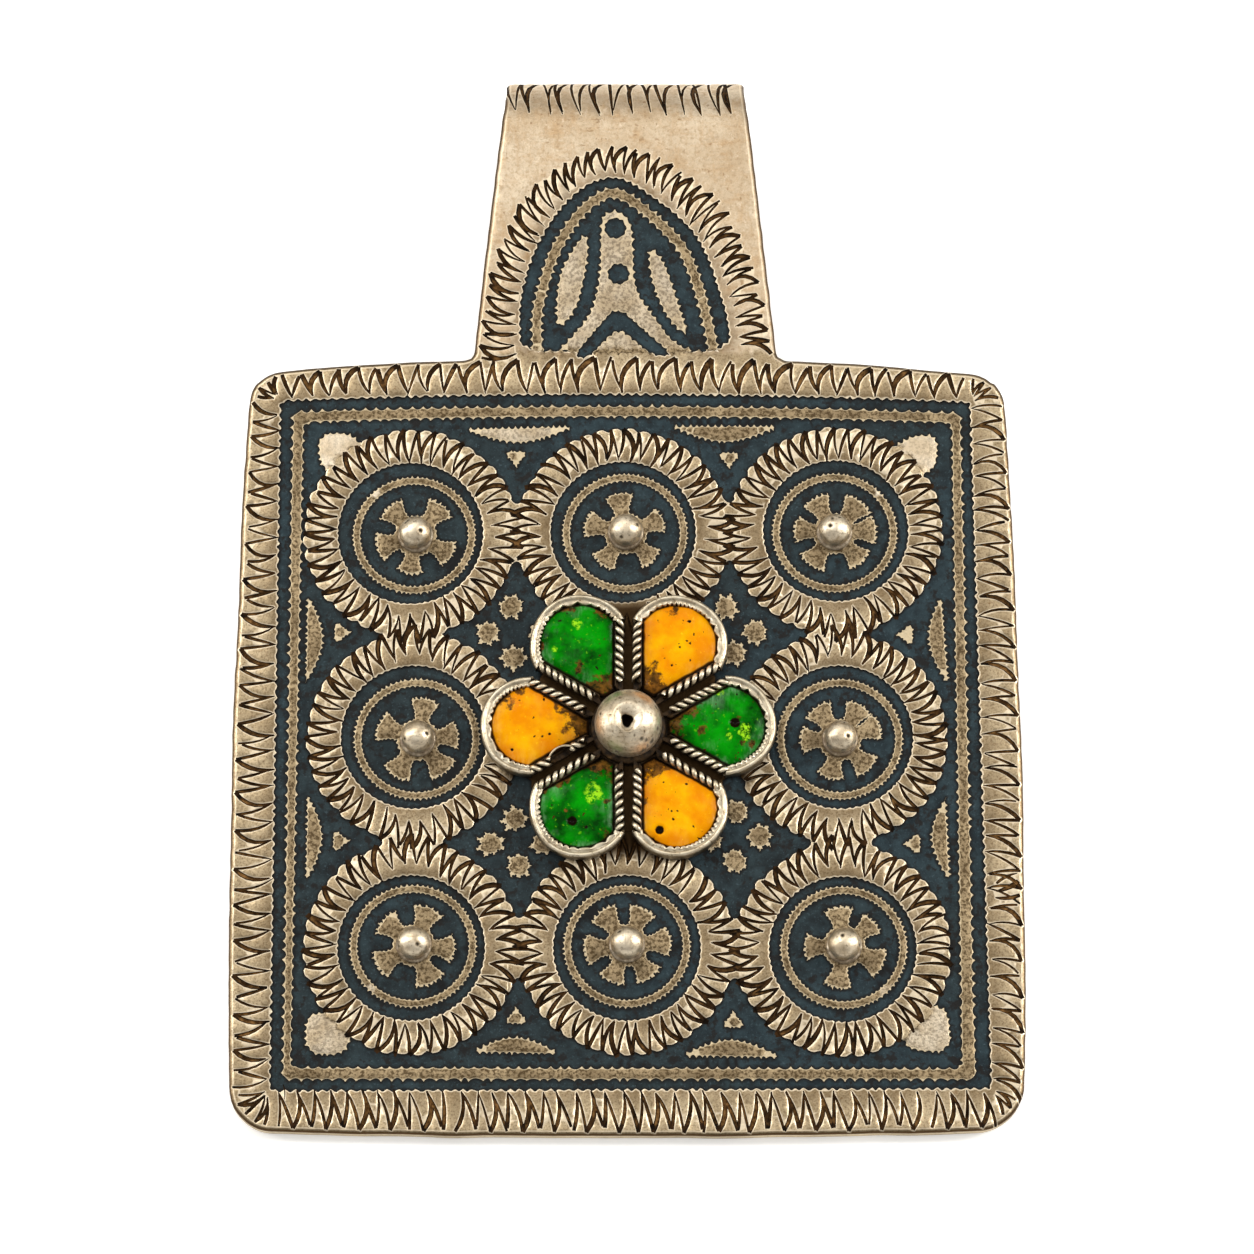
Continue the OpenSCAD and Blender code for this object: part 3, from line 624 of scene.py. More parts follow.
    column = [(6.07, 30.9), (3.68, 31.52), (1.77, 34.35), (0.81, 35.68), (0.49, 37.34), (0.49, 40.68),
              (0.01, 42.02), (-1.05, 42.6), (-1.99, 42.02), (-2.07, 40.68), (-2.07, 38.18), (-2.31, 36.01),
              (-2.86, 34.01), (-4.3, 32.19), (-5.57, 30.9), (0.0, 30.7)]
    for i, p in enumerate((left, right, column)):
        sk.teeth("light", ccw(smooth(p)), 0.62, 0.11, 325 + i)
    for i, (x, y) in enumerate(((-0.92, 41.05), (-0.66, 37.31))):
        sk.teeth("niello_bail_arch", circle(x, y, 0.85), 0.6, 0.05, 330 + i, False)
    chevron = [(-0.79, 34.75), (-2.3, 33.0), (-4.13, 30.75), (-3.6, 30.35), (-2.86, 30.6), (-1.9, 31.7),
               (-0.63, 32.85), (0.6, 31.8), (1.61, 30.95), (2.6, 30.5), (3.6, 30.75), (1.4, 32.7)]
    sk.teeth("niello_bail_arch", ccw(smooth(chevron)), 0.6, 0.07, 333)
    for m in MEDALLIONS:
        sk.region(circle(m[2], m[3], 0.45, 12), "hole")
    sk.region(circle(*ROSE, 0.65, 14), "hole")

    # Engraved rows of the border
    def row(*points):
        return path_fn(points, 0.06)
    zigzag(sk, row((26.6, 29.05), (20, 29.55), (13, 29.95), (9.5, 30.3), (0, 30.5), (-9.5, 30.3), (-13, 30.0),
                   (-20, 29.75), (-26.9, 29.1)),
           row((26.4, 27.15), (17, 27.5), (0, 27.75), (-17, 27.55), (-26.9, 27.25)),
           35, 401, 0.23, 0.165, lean=0.6)
    zigzag(sk, row(*((x, low_y(x) + 0.3) for x in np.linspace(-26.6, 28.0, 9))),
           row((-26.9, -27.5), (27.8, -27.6)), 44, 402, 0.19, 0.14, 0.25, lean=0.42)
    zigzag(sk, row(*((0.34 - half_side(y) - bow(y), y) for y in np.linspace(26.9, -27.2, 9))),
           row((-27.1, 26.6), (-27.35, -27.2)), 38, 403, 0.18)
    zigzag(sk, row(*((half_side(y) + bow(y) - 0.26, y) for y in np.linspace(-28.5, 26.6, 9))),
           row((27.95, -27.7), (26.85, 26.5)), 40, 404, 0.17, 0.11, lean=0.73)
    # Fans in the corners: corner of the dark line, first angle, room left to the rows, strokes
    rim = inset(resample(edge, 0.2), 0.34)
    for k, (cx, cy, a0, clear, n) in enumerate(((-27.04, 26.99, 90, 0.2, 3), (26.77, 26.87, 0, 0.2, 3),
                                                (27.73, -27.3, -90, 0.8, 2), (-27.18, -27.47, 180, 0.2, 4))):
        across = math.copysign(1, cx), math.copysign(1, cy)
        far = [p for p in rim if (p[0] - cx) * across[0] > clear and (p[1] - cy) * across[1] > clear]
        far.sort(key=lambda p: (math.atan2(p[1] - cy, p[0] - cx) - math.radians(a0) + 1) % (2 * math.pi))
        near = path_fn(arc(cx, cy, 0.5, a0 + 8, a0 + 82, 8), 0.1)
        zigzag(sk, path_fn(far, 0.07), near, n, 410 + k, 0.16, 0.12, 0.25)
    # Slips of the graver and later scratches
    for x0, y0, x1, y1, half in LOOSE_CUTS:
        sk.cut((x0, y0), (x1, y1), 0.15, half, 0.1)

    # Engraved rows of the rings, which reach out to a neighbour
    for i, (x, y) in enumerate(centres[:8]):
        def ring_at(radius, spread, reach, x=x, y=y):
            def at(u, rng):
                a = 2 * math.pi * u
                near = [abs((math.degrees(a) - q + 180) % 360 - 180) for q in (0, 90, 180, 270)]
                dx, dy = ((1, 0), (0, 1), (-1, 0), (0, -1))[near.index(min(near))]
                joined = (round(x / PITCH) + dx, round(y / PITCH) + dy) in grid
                blend = max(0.0, 1 - min(near) / 20) if joined else 0.0
                r = radius + reach * min(1, 1.6 * blend) + rng.uniform(-spread, spread)
                return polar(x, y, r, a)
            return at
        hand = 1 if i in (0, 2, 3, 5, 7) else -1
        zigzag(sk, ring_at(8.36, 0.12, 0.45), ring_at(5.8, 0.1, 0.7), counts[i], 430 + i, 0.2, 0.14, 0.3,
               0.5 + 0.1 * hand, hand)

    # Engraved row round the arch, and the row over the bend
    tips_out = [(-11.5, 30.5), (-11.45, 31.03), (-11.3, 33.18), (-11.09, 34.85), (-10.7, 37.34), (-9.92, 39.68),
                (-8.97, 42.19), (-7.53, 44.53), (-5.45, 46.04), (-3.36, 47.22), (-1.11, 47.81), (1.46, 47.39),
                (3.7, 46.21), (5.47, 45.04), (6.91, 43.7), (8.03, 42.19), (8.98, 40.35), (9.77, 38.34),
                (10.4, 36.01), (10.87, 34.01), (11.2, 31.36), (11.35, 30.7)]
    tips_in = [(-8.8, 30.5), (-8.75, 31.03), (-8.7, 35.68), (-7.9, 38.3), (-6.3, 41.8), (-4.3, 44.4),
               (-2.4, 45.6), (-0.79, 45.7), (1.46, 44.8), (3.8, 43.0), (5.7, 40.6), (7.0, 38.5), (8.1, 35.8),
               (8.5, 33.2), (9.0, 31.52), (9.0, 30.8)]
    zigzag(sk, path_fn(smooth(tips_out[::-1], False), 0.1), path_fn(smooth(tips_in[::-1], False), 0.06),
           45, 440, 0.19, 0.13, 0.4, lean=0.7)
    zigzag(sk, path_fn([(9.2, BEND_Y + 7.2), (-9.3, BEND_Y + 7.2)], 0.12),
           path_fn([(9.1, BEND_Y + 1.5), (-9.5, BEND_Y + 1.8)], 0.2), 14, 441, 0.19, 0.13, 0.3)

    # Loose points, so that the surface can swell between the cuts
    rng = random.Random(77)
    tree = tree_of(sk.points)
    loose = []

    def fine(x, y):
        """Is this spot in an engraved band or in a small mark?"""
        if y > 30:
            return math.hypot((x + 0.7) / 11.4, (y - 30.5) / 17.6) < 1 or BEND_Y + 1 < y < BEND_Y + 7.6
        if not (-27.1 < x < 26.8 and -27.4 < y < 27.2):
            return True
        far, close = max(abs(x), abs(y)), min(abs(x), abs(y))
        if far > 23.2:
            return far < 25.2 and (close < 12.8 or close > 20)
        r = min(math.hypot(x - a, y - b) for a, b in centres)
        return r < 3.6 or 5.6 < r < 8.4 or min(math.hypot(x - a, y - b) for a, b in stars) < 1.3

    for x0, x1, y0, y1, step, near in (
            (-30.2, 30.2, -30.4, 30.3, 0.37, 0.15), (-11.9, 11.6, 30.3, BEND_Y + 9.5, 0.36, 0.15),
            (-9.4, 9.4, BEND_Y + 9.5, S1, 0.42, 0.2), (-9.2, 9.2, S1, S4, 0.5, 0.25)):
        y, odd, count = y0, False, 0
        while y < y1:
            x = x0 + (step / 2 if odd else 0)
            while x < x1:
                q = (x + rng.uniform(-0.2, 0.2) * step, y + rng.uniform(-0.2, 0.2) * step)
                count += 1
                if (count % 2 == 0 or fine(*q)) and tree.find((*q, 0))[2] > near:
                    loose.append(q)
                x += step
            y += step * ROW_STEP
            odd = not odd
    sk.points += loose
    return sk


def distance(targets, links, queries, reach):
    """Distance from each query to the nearest link of the targets, cut off at reach."""
    tree = tree_of(targets)
    near = [[] for _ in targets]
    for a, b in links:
        near[a].append(b)
        near[b].append(a)
    out = np.full(len(queries), reach)
    for k, (x, y) in enumerate(queries):
        _, i, d = tree.find((x, y, 0))
        if d > reach + 0.2:
            continue
        best = d
        ax, ay = targets[i]
        for j in near[i]:
            bx, by = targets[j]
            ux, uy = bx - ax, by - ay
            t = ((x - ax) * ux + (y - ay) * uy) / max(ux * ux + uy * uy, 1e-12)
            t = min(max(t, 0.0), 1.0)
            best = min(best, math.hypot(x - ax - t * ux, y - ay - t * uy))
        out[k] = min(best, reach)
    return out


def link_distance(verts, links, reach):
    """Distance from every vertex to the nearest link, the links' own vertices, and the links in these."""
    ids = sorted({i for e in links for i in e})
    to = {v: i for i, v in enumerate(ids)}
    own = [(to[a], to[b]) for a, b in links]
    return distance(verts[ids], own, verts, reach), np.array(ids), own


def edge_roll(d, reach):
    """1 on an edge, falling to 0 at reach."""
    return (1 - np.clip(d / reach, 0, 1)) ** 2


def cut_depth(sk, verts):
    """How deep the deepest cut is at each vertex."""
    cell = 0.6
    grid = {}
    for i, (x, y) in enumerate(verts):
        grid.setdefault((int(x // cell), int(y // cell)), []).append(i)
    depth = np.zeros(len(verts))
    for axis, half, deep in sk.cuts:
        lo, hi = axis.min(0) - 0.25, axis.max(0) + 0.25
        ids = []
        for gx in range(int(lo[0] // cell), int(hi[0] // cell) + 1):
            for gy in range(int(lo[1] // cell), int(hi[1] // cell) + 1):
                ids += grid.get((gx, gy), ())
        if not ids:
            continue
        ids = np.array(ids)
        p = verts[ids]
        for i in range(len(axis) - 1):
            a, d = axis[i], axis[i + 1] - axis[i]
            t = ((p - a) @ d) / (d @ d)
            ok = (t >= -0.02) & (t <= 1.02)
            if not ok.any():
                continue
            tt = np.clip(t[ok], 0, 1)
            dist = np.hypot(*(p[ok] - a - tt[:, None] * d).T)
            hw = half[i] + (half[i + 1] - half[i]) * tt
            inside = np.maximum(0, 1 - dist / np.maximum(hw, 1e-3))
            np.maximum.at(depth, ids[ok], (deep[i] + (deep[i + 1] - deep[i]) * tt) * inside)
    return depth


def link_new(name, data):
    ob = bpy.data.objects.new(name, data)
    bpy.context.scene.collection.objects.link(ob)
    return ob


def add_mesh(name, verts, faces, mats, slots, attrs, angle=40):
    me = bpy.data.meshes.new(name)
    me.from_pydata([tuple(v) for v in verts], [], [tuple(f) for f in faces])
    for m in mats:
        me.materials.append(m)
    if slots is not None:
        me.polygons.foreach_set("material_index", np.asarray(slots, np.int32))
    for key, values in attrs.items():
        at = me.attributes.new(key, "FLOAT", "POINT")
        at.data.foreach_set("value", np.asarray(values, np.float32))
    me.polygons.foreach_set("use_smooth", np.ones(len(me.polygons), bool))
    me.set_sharp_from_angle(angle=math.radians(angle))
    me.validate()
    me.update()
    return link_new(name, me)


def boundary(tris, mask):
    """Directed edges of the masked triangles that no other masked triangle shares."""
    t = tris[mask]
    e = np.vstack([t[:, (0, 1)], t[:, (1, 2)], t[:, (2, 0)]])
    seen = {(int(a), int(b)) for a, b in e}
    return [(a, b) for a, b in seen if (b, a) not in seen]


def chain(edges):
    """Closed loops from directed edges."""
    nxt = {}
    for a, b in edges:
        nxt.setdefault(a, []).append(b)
    loops = []
    while nxt:
        loop, b = [], next(iter(nxt))
        while b in nxt and (not loop or b != loop[0]):
            loop.append(b)
            b = nxt[b].pop()
            if not nxt[loop[-1]]:
                del nxt[loop[-1]]
        loops.append(loop)
    return loops


def numbered(used, total, first=0):
    """Numbers for the used vertices, and -1 for the others."""
    index = np.full(total, -1)
    index[used] = first + np.arange(len(used))
    return index


def closed_slab(verts, tris, mask, h_top, low):
    """A closed body of the masked triangles: tops first, then undersides and sides. Returns its
    points, its faces and the vertices it uses."""
    used = np.unique(tris[mask])
    n = len(used)
    index = numbered(used, len(verts))
    x, y = verts[used].T
    points = np.vstack([sheet(x, y, h_top[used]), sheet(x, y, np.full(n, low))])
    t = index[tris[mask]]
    faces = [tuple(f) for f in t] + [tuple(f[::-1] + n) for f in t]
    faces += [(a, a + n, b + n, b) for a, b in index[np.array(boundary(tris, mask))]]
    return points, faces, used


def hollow_floors(points, links):
    """Coarse triangles to the right of the directed links, using their points alone."""
    out = delaunay_2d_cdt([Vector(p) for p in points], links, [], 0, 1e-6, True)
    own = [ids[0] if ids else -1 for ids in out[3]]
    walls = set(links)
    tris = [tuple(own[i] for i in f) for f in out[2]]
    pos = np.array([tuple(v) for v in out[0]])
    tris = [t if area(pos[list(f)]) > 0 else t[::-1] for t, f in zip(tris, out[2])]
    at = {}
    for n, (a, b, c) in enumerate(tris):
        for e in ((a, b), (b, c), (c, a)):
            at[e] = n
    inside = {at[(b, a)] for a, b in links if (b, a) in at}
    todo = list(inside)
    while todo:
        a, b, c = tris[todo.pop()]
        for a, b in ((a, b), (b, c), (c, a)):
            n = at.get((b, a))
            if n is not None and n not in inside and not {(a, b), (b, a)} & walls:
                inside.add(n)
                todo.append(n)
    return np.array([tris[n] for n in sorted(inside)])


def build_front(mat):
    sk = draw_front()
    verts, tris, kind, cut = sk.solve()
    x, y = verts.T
    silver = np.array([not k.startswith("niello") for k in kind])
    outer = boundary(tris, np.ones(len(tris), bool))
    outside = set(outer)
    walls = [e for e in boundary(tris, silver) if e not in outside]
    d_rim, rim_ids, rim_links = link_distance(verts, walls, 1.6)
    d_out = link_distance(verts, outer, 2.0)[0]
    d_cut = link_distance(verts, boundary(tris, cut), 1.0)[0]
    depth = cut_depth(sk, verts)

    # Heights over the plate's front
    light = np.zeros(len(verts), bool)
    light[np.unique(tris[kind == "light"])] = True
    light[np.unique(tris[kind == "band"])] = False
    wave = 0.018 * noise2(x, y, 21, 2.2) + 0.03 * noise2(x, y, 22, 7.0)
    swell = np.where(d_cut < 0.99, 0.045 * np.clip(d_cut / 0.35, 0, 1) ** 0.8, 0.02)
    top = wave * np.clip(d_rim / 0.3, 0.3, 1) - 0.08 * edge_roll(d_rim, 0.35) - 0.03
    top = top + np.where(light, -0.07, swell) - 0.26 * edge_roll(d_out, 0.3) - depth
    top = np.where(y > BEND_Y - 1, np.minimum(top, 0.0), top)

    # The niello: a little below the silver, dull and slightly sunken between
    fill = -0.2 + 0.02 * noise2(x, y, 31, 1.3) + 0.015 * noise2(x, y, 32, 3.7)
    fill = fill - 0.03 * np.clip(d_rim / 0.4, 0, 1) - 0.55 * depth

    # Silver plate: tops, floors of the hollows, walls, and the back.
    # Slots: 0 silver, 1 reserved, 2 cut, 3 back
    used = np.unique(tris[silver])
    n_top = len(used)
    index = numbered(used, len(verts))
    index_f = numbered(rim_ids, len(verts), n_top)
    pts = [sheet(x[used], y[used], top[used]), sheet(x[rim_ids], y[rim_ids], np.full(len(rim_ids), FLOOR))]
    faces = [tuple(f) for f in index[tris[silver]]]
    slot = list(np.where(cut, 2, kind == "light")[silver])
    faces += [tuple(f) for f in index_f[rim_ids[hollow_floors(verts[rim_ids], rim_links)]]]
    faces += [(index[a], index_f[a], index_f[b], index[b]) for a, b in walls]
    slot += [2] * (len(faces) - len(slot))

    # The back has its own, coarser triangles inside the same outline
    n_now = n_top + len(rim_ids)
    loops = sorted(chain(outer), key=len, reverse=True)
    main = verts[loops[0]]
    back = Sketch()
    for loop in loops:
        back.region(ccw(verts[loop]), "hole" if back.kinds else "band")
    for d in (0.12, 0.34):
        back.line(inset(main, d))
    rng = random.Random(88)
    tree = tree_of(back.points)
    for x0, x1, y0, y1, step in ((-30.2, 30.2, -30.4, 30.3, 1.2), (-11.6, 11.6, 30.3, BEND_Y, 1.0),
                                 (-9.5, 9.5, BEND_Y, S1, 0.55), (-9.4, 9.4, S1, S4, 0.9)):
        for yy in np.arange(y0, y1, step * ROW_STEP):
            for xx in np.arange(x0 + rng.uniform(0, 1) * step, x1, step):
                q = (xx + rng.uniform(-0.15, 0.15) * step, yy + rng.uniform(-0.1, 0.1) * step)
                if tree.find((*q, 0))[2] > 0.3:
                    back.points.append(q)
    vb, tb, _, _ = back.solve()
    xb, yb = vb.T
    ease = np.clip((yb - 29.9) / 1.4, 0, 1)
    thick = PLATE_T - (PLATE_T - STRAP_T) * (ease * ease * (3 - 2 * ease))
    low = -thick + 0.012 * noise2(xb, yb, 41, 3.0) + 0.02 * noise2(xb, yb, 42, 9.0)
    low = np.where(yb > S2, -STRAP_T, low)
    d_back = distance(main, [(i, (i + 1) % len(main)) for i in range(len(main))], vb, 1.0)
    pts.append(sheet(xb, yb, low + 0.22 * edge_roll(d_back, 0.36)))
    faces += [tuple(f[::-1] + n_now) for f in tb]
    main_ids = [i for loop in loops for i in loop]
    tree = tree_of(verts[main_ids])
    link = {}
    for i, p in enumerate(vb):
        _, j, d = tree.find((*p, 0))
        if d < 1e-3:
            link[main_ids[j]] = i + n_now
    faces += [(index[a], link[a], link[b], index[b]) for a, b in outer]
    slot += [3] * (len(faces) - len(slot))
    pts = np.vstack(pts)

    # Wear, darkening toward the tiles' inner ends, and painted shadow round the rosette
    middle = np.min([np.hypot(x - m[0], y - m[1]) for m in MEDALLIONS], 0)
    corner = (np.minimum(abs(x), abs(y)) > 19.3) & (np.maximum(abs(x), abs(y)) < 24.95) & light
    figure = light & (y > 31.2) & (np.hypot((x + 0.7) / 5.3, (y - 30.5) / 12.6) < 1)
    worn = np.where((y > 30.9) & ~light | corner | figure, 1.0, 0.0)
    worn = np.where(figure, 0.5, worn)
    worn = np.where(light & (abs(x + 8.4) < 4.6) & (abs(y - 24.3) < 1.0), 0.6, worn)
    # Darker toward the inner ends of the tiles: by the niello's edges, and in the rings toward each medallion's
    # middle
    inward = np.where(middle < 8.7, np.clip((7.2 - middle) / 1.3, 0, 1), np.clip(1 - d_rim / 1.3, 0, 1))
    attrs = {}
    for name, values, rest in (
            ("near", d_rim, 1.0), ("slit", d_cut, 1.0), ("side", d_out, 1.0), ("dirt_and_shade", inward, 0.0),
            ("depth", np.clip(depth / 0.15, 0, 1) * np.where((middle < 8.7) | (y > 31), 0.6, 1.0), 0.0),
            # Painted shadow on the plate round and under the rosette
            ("rosette_shadow", np.clip((10.5 - np.hypot(x - ROSE[0], y - ROSE[1])) / 0.9, 0, 1), 0.0),
            ("wear", worn * np.clip((y + 60) / 60, 0, 1), 0.0)):
        attrs[name] = np.full(len(pts), rest)
        attrs[name][:n_top] = values[used]
    plate = add_mesh("plate", to_row(pts), faces,
                     [mat["silver"], mat["reserved"], mat["cut"], mat["back"]], slot, attrs)
    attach(plate, "root")
    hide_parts("plate_and_bail")

    # The inlays
    for name in sorted(set(kind[~silver])):
        mask = kind == name
        p, f, own = closed_slab(verts, tris, mask, fill, FLOOR + 0.02)
        slot = np.zeros(len(f), int)
        slot[:mask.sum()] = cut[mask]
        ob = add_mesh(name.replace("niello", "inlay"), to_row(p), f, [mat["niello"], mat["cut"]], slot,
                      {"near": np.append(d_rim[own], np.ones(len(own)))})
        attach(ob, "root")
        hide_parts(name)


def ring_quads(rings, n):
    """Quads between rings of n points that follow each other."""
    return [(k * n + i, k * n + (i + 1) % n, (k + 1) * n + (i + 1) % n, (k + 1) * n + i)
            for k in range(rings - 1) for i in range(n)]


def ring_caps(rings, n):
    return [tuple(range(n))[::-1], tuple(range((rings - 1) * n, rings * n))]


def lathe(profile, n, cx, cy, wobble=0.0, seed=0):
    """Points of a turned shape, a ring of n for each point of its profile."""
    rng = random.Random(seed)
    waves = [(rng.randint(2, 4), rng.uniform(0, 6.3), rng.uniform(0.4, 1)) for _ in range(3)]
    pts = []
    for k, (r, z) in enumerate(profile):
        for i in range(n):
            a = 2 * math.pi * i / n
            w = 1 + wobble * sum(g * math.sin(m * a + f + 0.35 * k) for m, f, g in waves)
            pts.append((*polar(cx, cy, r * w, a), z))
    return np.array(pts)


def ball_pit(pts, dark, middle, r, turn, rise, size, strong, wide, deep):
    """Press a small pit into a ball and darken it."""
    d = np.array([math.cos(turn) * math.cos(rise), math.sin(turn) * math.cos(rise), math.sin(rise)])
    far = np.linalg.norm(pts - (middle + d * r), axis=1)
    dark = np.maximum(dark, np.clip(strong - far / size, 0, 1))
    return pts - d * (deep * np.clip(1 - far / wide, 0, 1) ** 1.2)[:, None], dark


def build_studs(mat):
    r, cz, n = 1.25, 2.5, 40
    low = math.asin((PLATE_T + 0.3 - cz) / r)
    # Rivet, foot, collar and ball
    prof = [(0.001, -0.3), (0.5, -0.29), (0.72, -0.2), (0.8, -0.02), (0.4, 0.0), (0.4, 1.35), (1.3, 1.36),
            (1.37, 1.45), (1.39, 1.6), (1.35, 1.73), (1.25, 1.78), (1.1, 1.77)]
    prof += [polar(0, cz, r, a) for a in np.linspace(low + 0.12, math.pi / 2 - 0.001, 19)]
    for i, m in enumerate(MEDALLIONS):
        rng = random.Random(600 + i)
        pts = lathe(prof, n, m[2], m[3], 0.006, 610 + i)
        pits = np.zeros(len(pts))
        for _ in range(rng.choice((2, 3))):
            turn, rise = rng.uniform(0, 2 * math.pi), rng.uniform(0.25, 1.25)
            pts, pits = ball_pit(pts, pits, np.array([m[2], m[3], cz]), r, turn, rise, 0.16, 1.4, 0.3, 0.06)
        # Painted shade: the ball darkens toward its lower half and foot
        dirt_and_shade = np.clip((PLATE_T + 1.5 - pts[:, 2]) / 1.2, 0, 1) * (pts[:, 2] > 1)
        faces = ring_quads(len(prof), n) + ring_caps(len(prof), n)
        ob = add_mesh(f"ball_{i + 1}", to_row(pts), faces, [mat["ball"]], None, {"pit": pits, "dirt_and_shade": dirt_and_shade}, 50)
        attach(ob, "root")
        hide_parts(f"stud_{i + 1}")


# The rosette: petals lie along +x in their own frame. GAP is half the room between two petals
GAP = 0.3
PETAL_AT = 7.4
PETAL_R = 3.95
BASE_Z = 1.9
BREAK = (4.45, 5.95)  # the broken wire's gap, along x


def from_petal(turn, pts):
    """Petal frame (axis along +x) to the plate frame."""
    p = np.asarray(pts, float)
    c, s = math.cos(math.radians(turn)), math.sin(math.radians(turn))
    out = p.copy()
    out[:, 0] = ROSE[0] + p[:, 0] * c - p[:, 1] * s
    out[:, 1] = ROSE[1] + p[:, 0] * s + p[:, 1] * c
    return out


def petal_shoulder(d):
    r = PETAL_R - d
    off = PETAL_AT * 0.5 - GAP - d
    along = PETAL_AT * math.cos(math.radians(30)) + math.sqrt(r * r - off * off)
    c, s = math.cos(math.radians(30)), 0.5
    return along * c + (GAP + d) * s, along * s - (GAP + d) * c


def petal_arc(d, n):
    """The round end from the lower to the upper shoulder, inset by d."""
    x, y = petal_shoulder(d)
    a = math.atan2(y, x - PETAL_AT)
    return [polar(PETAL_AT, 0, PETAL_R - d, t) for t in np.linspace(-a, a, n)]


def tube(path, r, sides):
    """A tube round a path of points, closed at its ends. r may change along it."""
    p = np.asarray(path, float)
    t = np.gradient(p, axis=0)
    t /= np.linalg.norm(t, axis=1)[:, None]
    pts = []
    for q, way, radius in zip(p, t, np.broadcast_to(r, len(p))):
        side = np.cross(way, (0.0, 0.0, 1.0))
        side /= np.linalg.norm(side)
        top = np.cross(side, way)
        for k in range(sides):
            a = 2 * math.pi * k / sides
            pts.append(q + radius * (side * math.cos(a) + top * math.sin(a)))
    return np.array(pts), ring_quads(len(p), sides) + ring_caps(len(p), sides)


def rope(a, b, z, lay, seed, hand=1):
    """Two strands twisted round each other from a to b in the plane."""
    rng = random.Random(seed)
    a, b = np.array([*a, z]), np.array([*b, z])
    long = np.linalg.norm(b - a)
    t = (b - a) / long
    side = np.array([-t[1], t[0], 0.0])
    up = np.array([0, 0, 1.0])
    n = int(long / lay * 18)
    u = np.linspace(0, 1, n)
    phase = rng.uniform(0, 6.3)
    ang = phase + hand * 2 * math.pi * (u * long / lay + 0.06 * np.sin(5 * u + phase))
    sway = 0.05 * np.sin(2.6 * u + rng.uniform(0, 6.3)) + 0.02 * np.sin(9 * u + phase)
    out = []
    mid = a + np.outer(u * long, t) + np.outer(sway, side)
    for k in (0, math.pi):
        c, s = np.cos(ang + k) * 0.2, np.sin(ang + k) * 0.2
        path = mid + np.outer(c, side) + np.outer(s, up)
        crest = np.clip(np.sin(ang + k), 0, 1)
        pts, faces = tube(path, 0.165 * (1 + 0.28 * crest + 0.06 * np.sin(23 * u + k)), 8)
        off = np.linalg.norm(pts - np.repeat(mid, 8, axis=0), axis=1)
        # The third value marks the strands' sides toward the rope's middle: brown patina with painted shade in
        # the crevices
        out.append((pts, faces, np.clip((0.4 - off) / 0.1, 0, 1)))
    return out


class Join:
    """Several bodies gathered into one mesh."""
    def __init__(self):
        self.pts, self.faces, self.mats, self.n, self.attr = [], [], [], 0, []

    def add(self, pts, faces, mat, attr):
        self.pts.append(np.asarray(pts, float))
        self.faces += [tuple(int(i) + self.n for i in f) for f in faces]
        self.mats += [mat] * len(faces)
        self.attr.append(np.broadcast_to(attr, len(pts)))
        self.n += len(pts)

    def arrays(self):
        return np.vstack(self.pts), self.faces, self.mats, np.concatenate(self.attr)


def sweep(rows):
    """A closed body between equally long rows of points, which are its profile's corners."""
    m, n = len(rows), len(rows[0])
    faces = [(i * n + k, i * n + k + 1, (i + 1) % m * n + k + 1, (i + 1) % m * n + k)
             for i in range(m) for k in range(n - 1)]
    faces += [tuple(i * n for i in range(m)), tuple(i * n + n - 1 for i in range(m))[::-1]]
    return np.vstack(rows), [f[::-1] for f in faces]


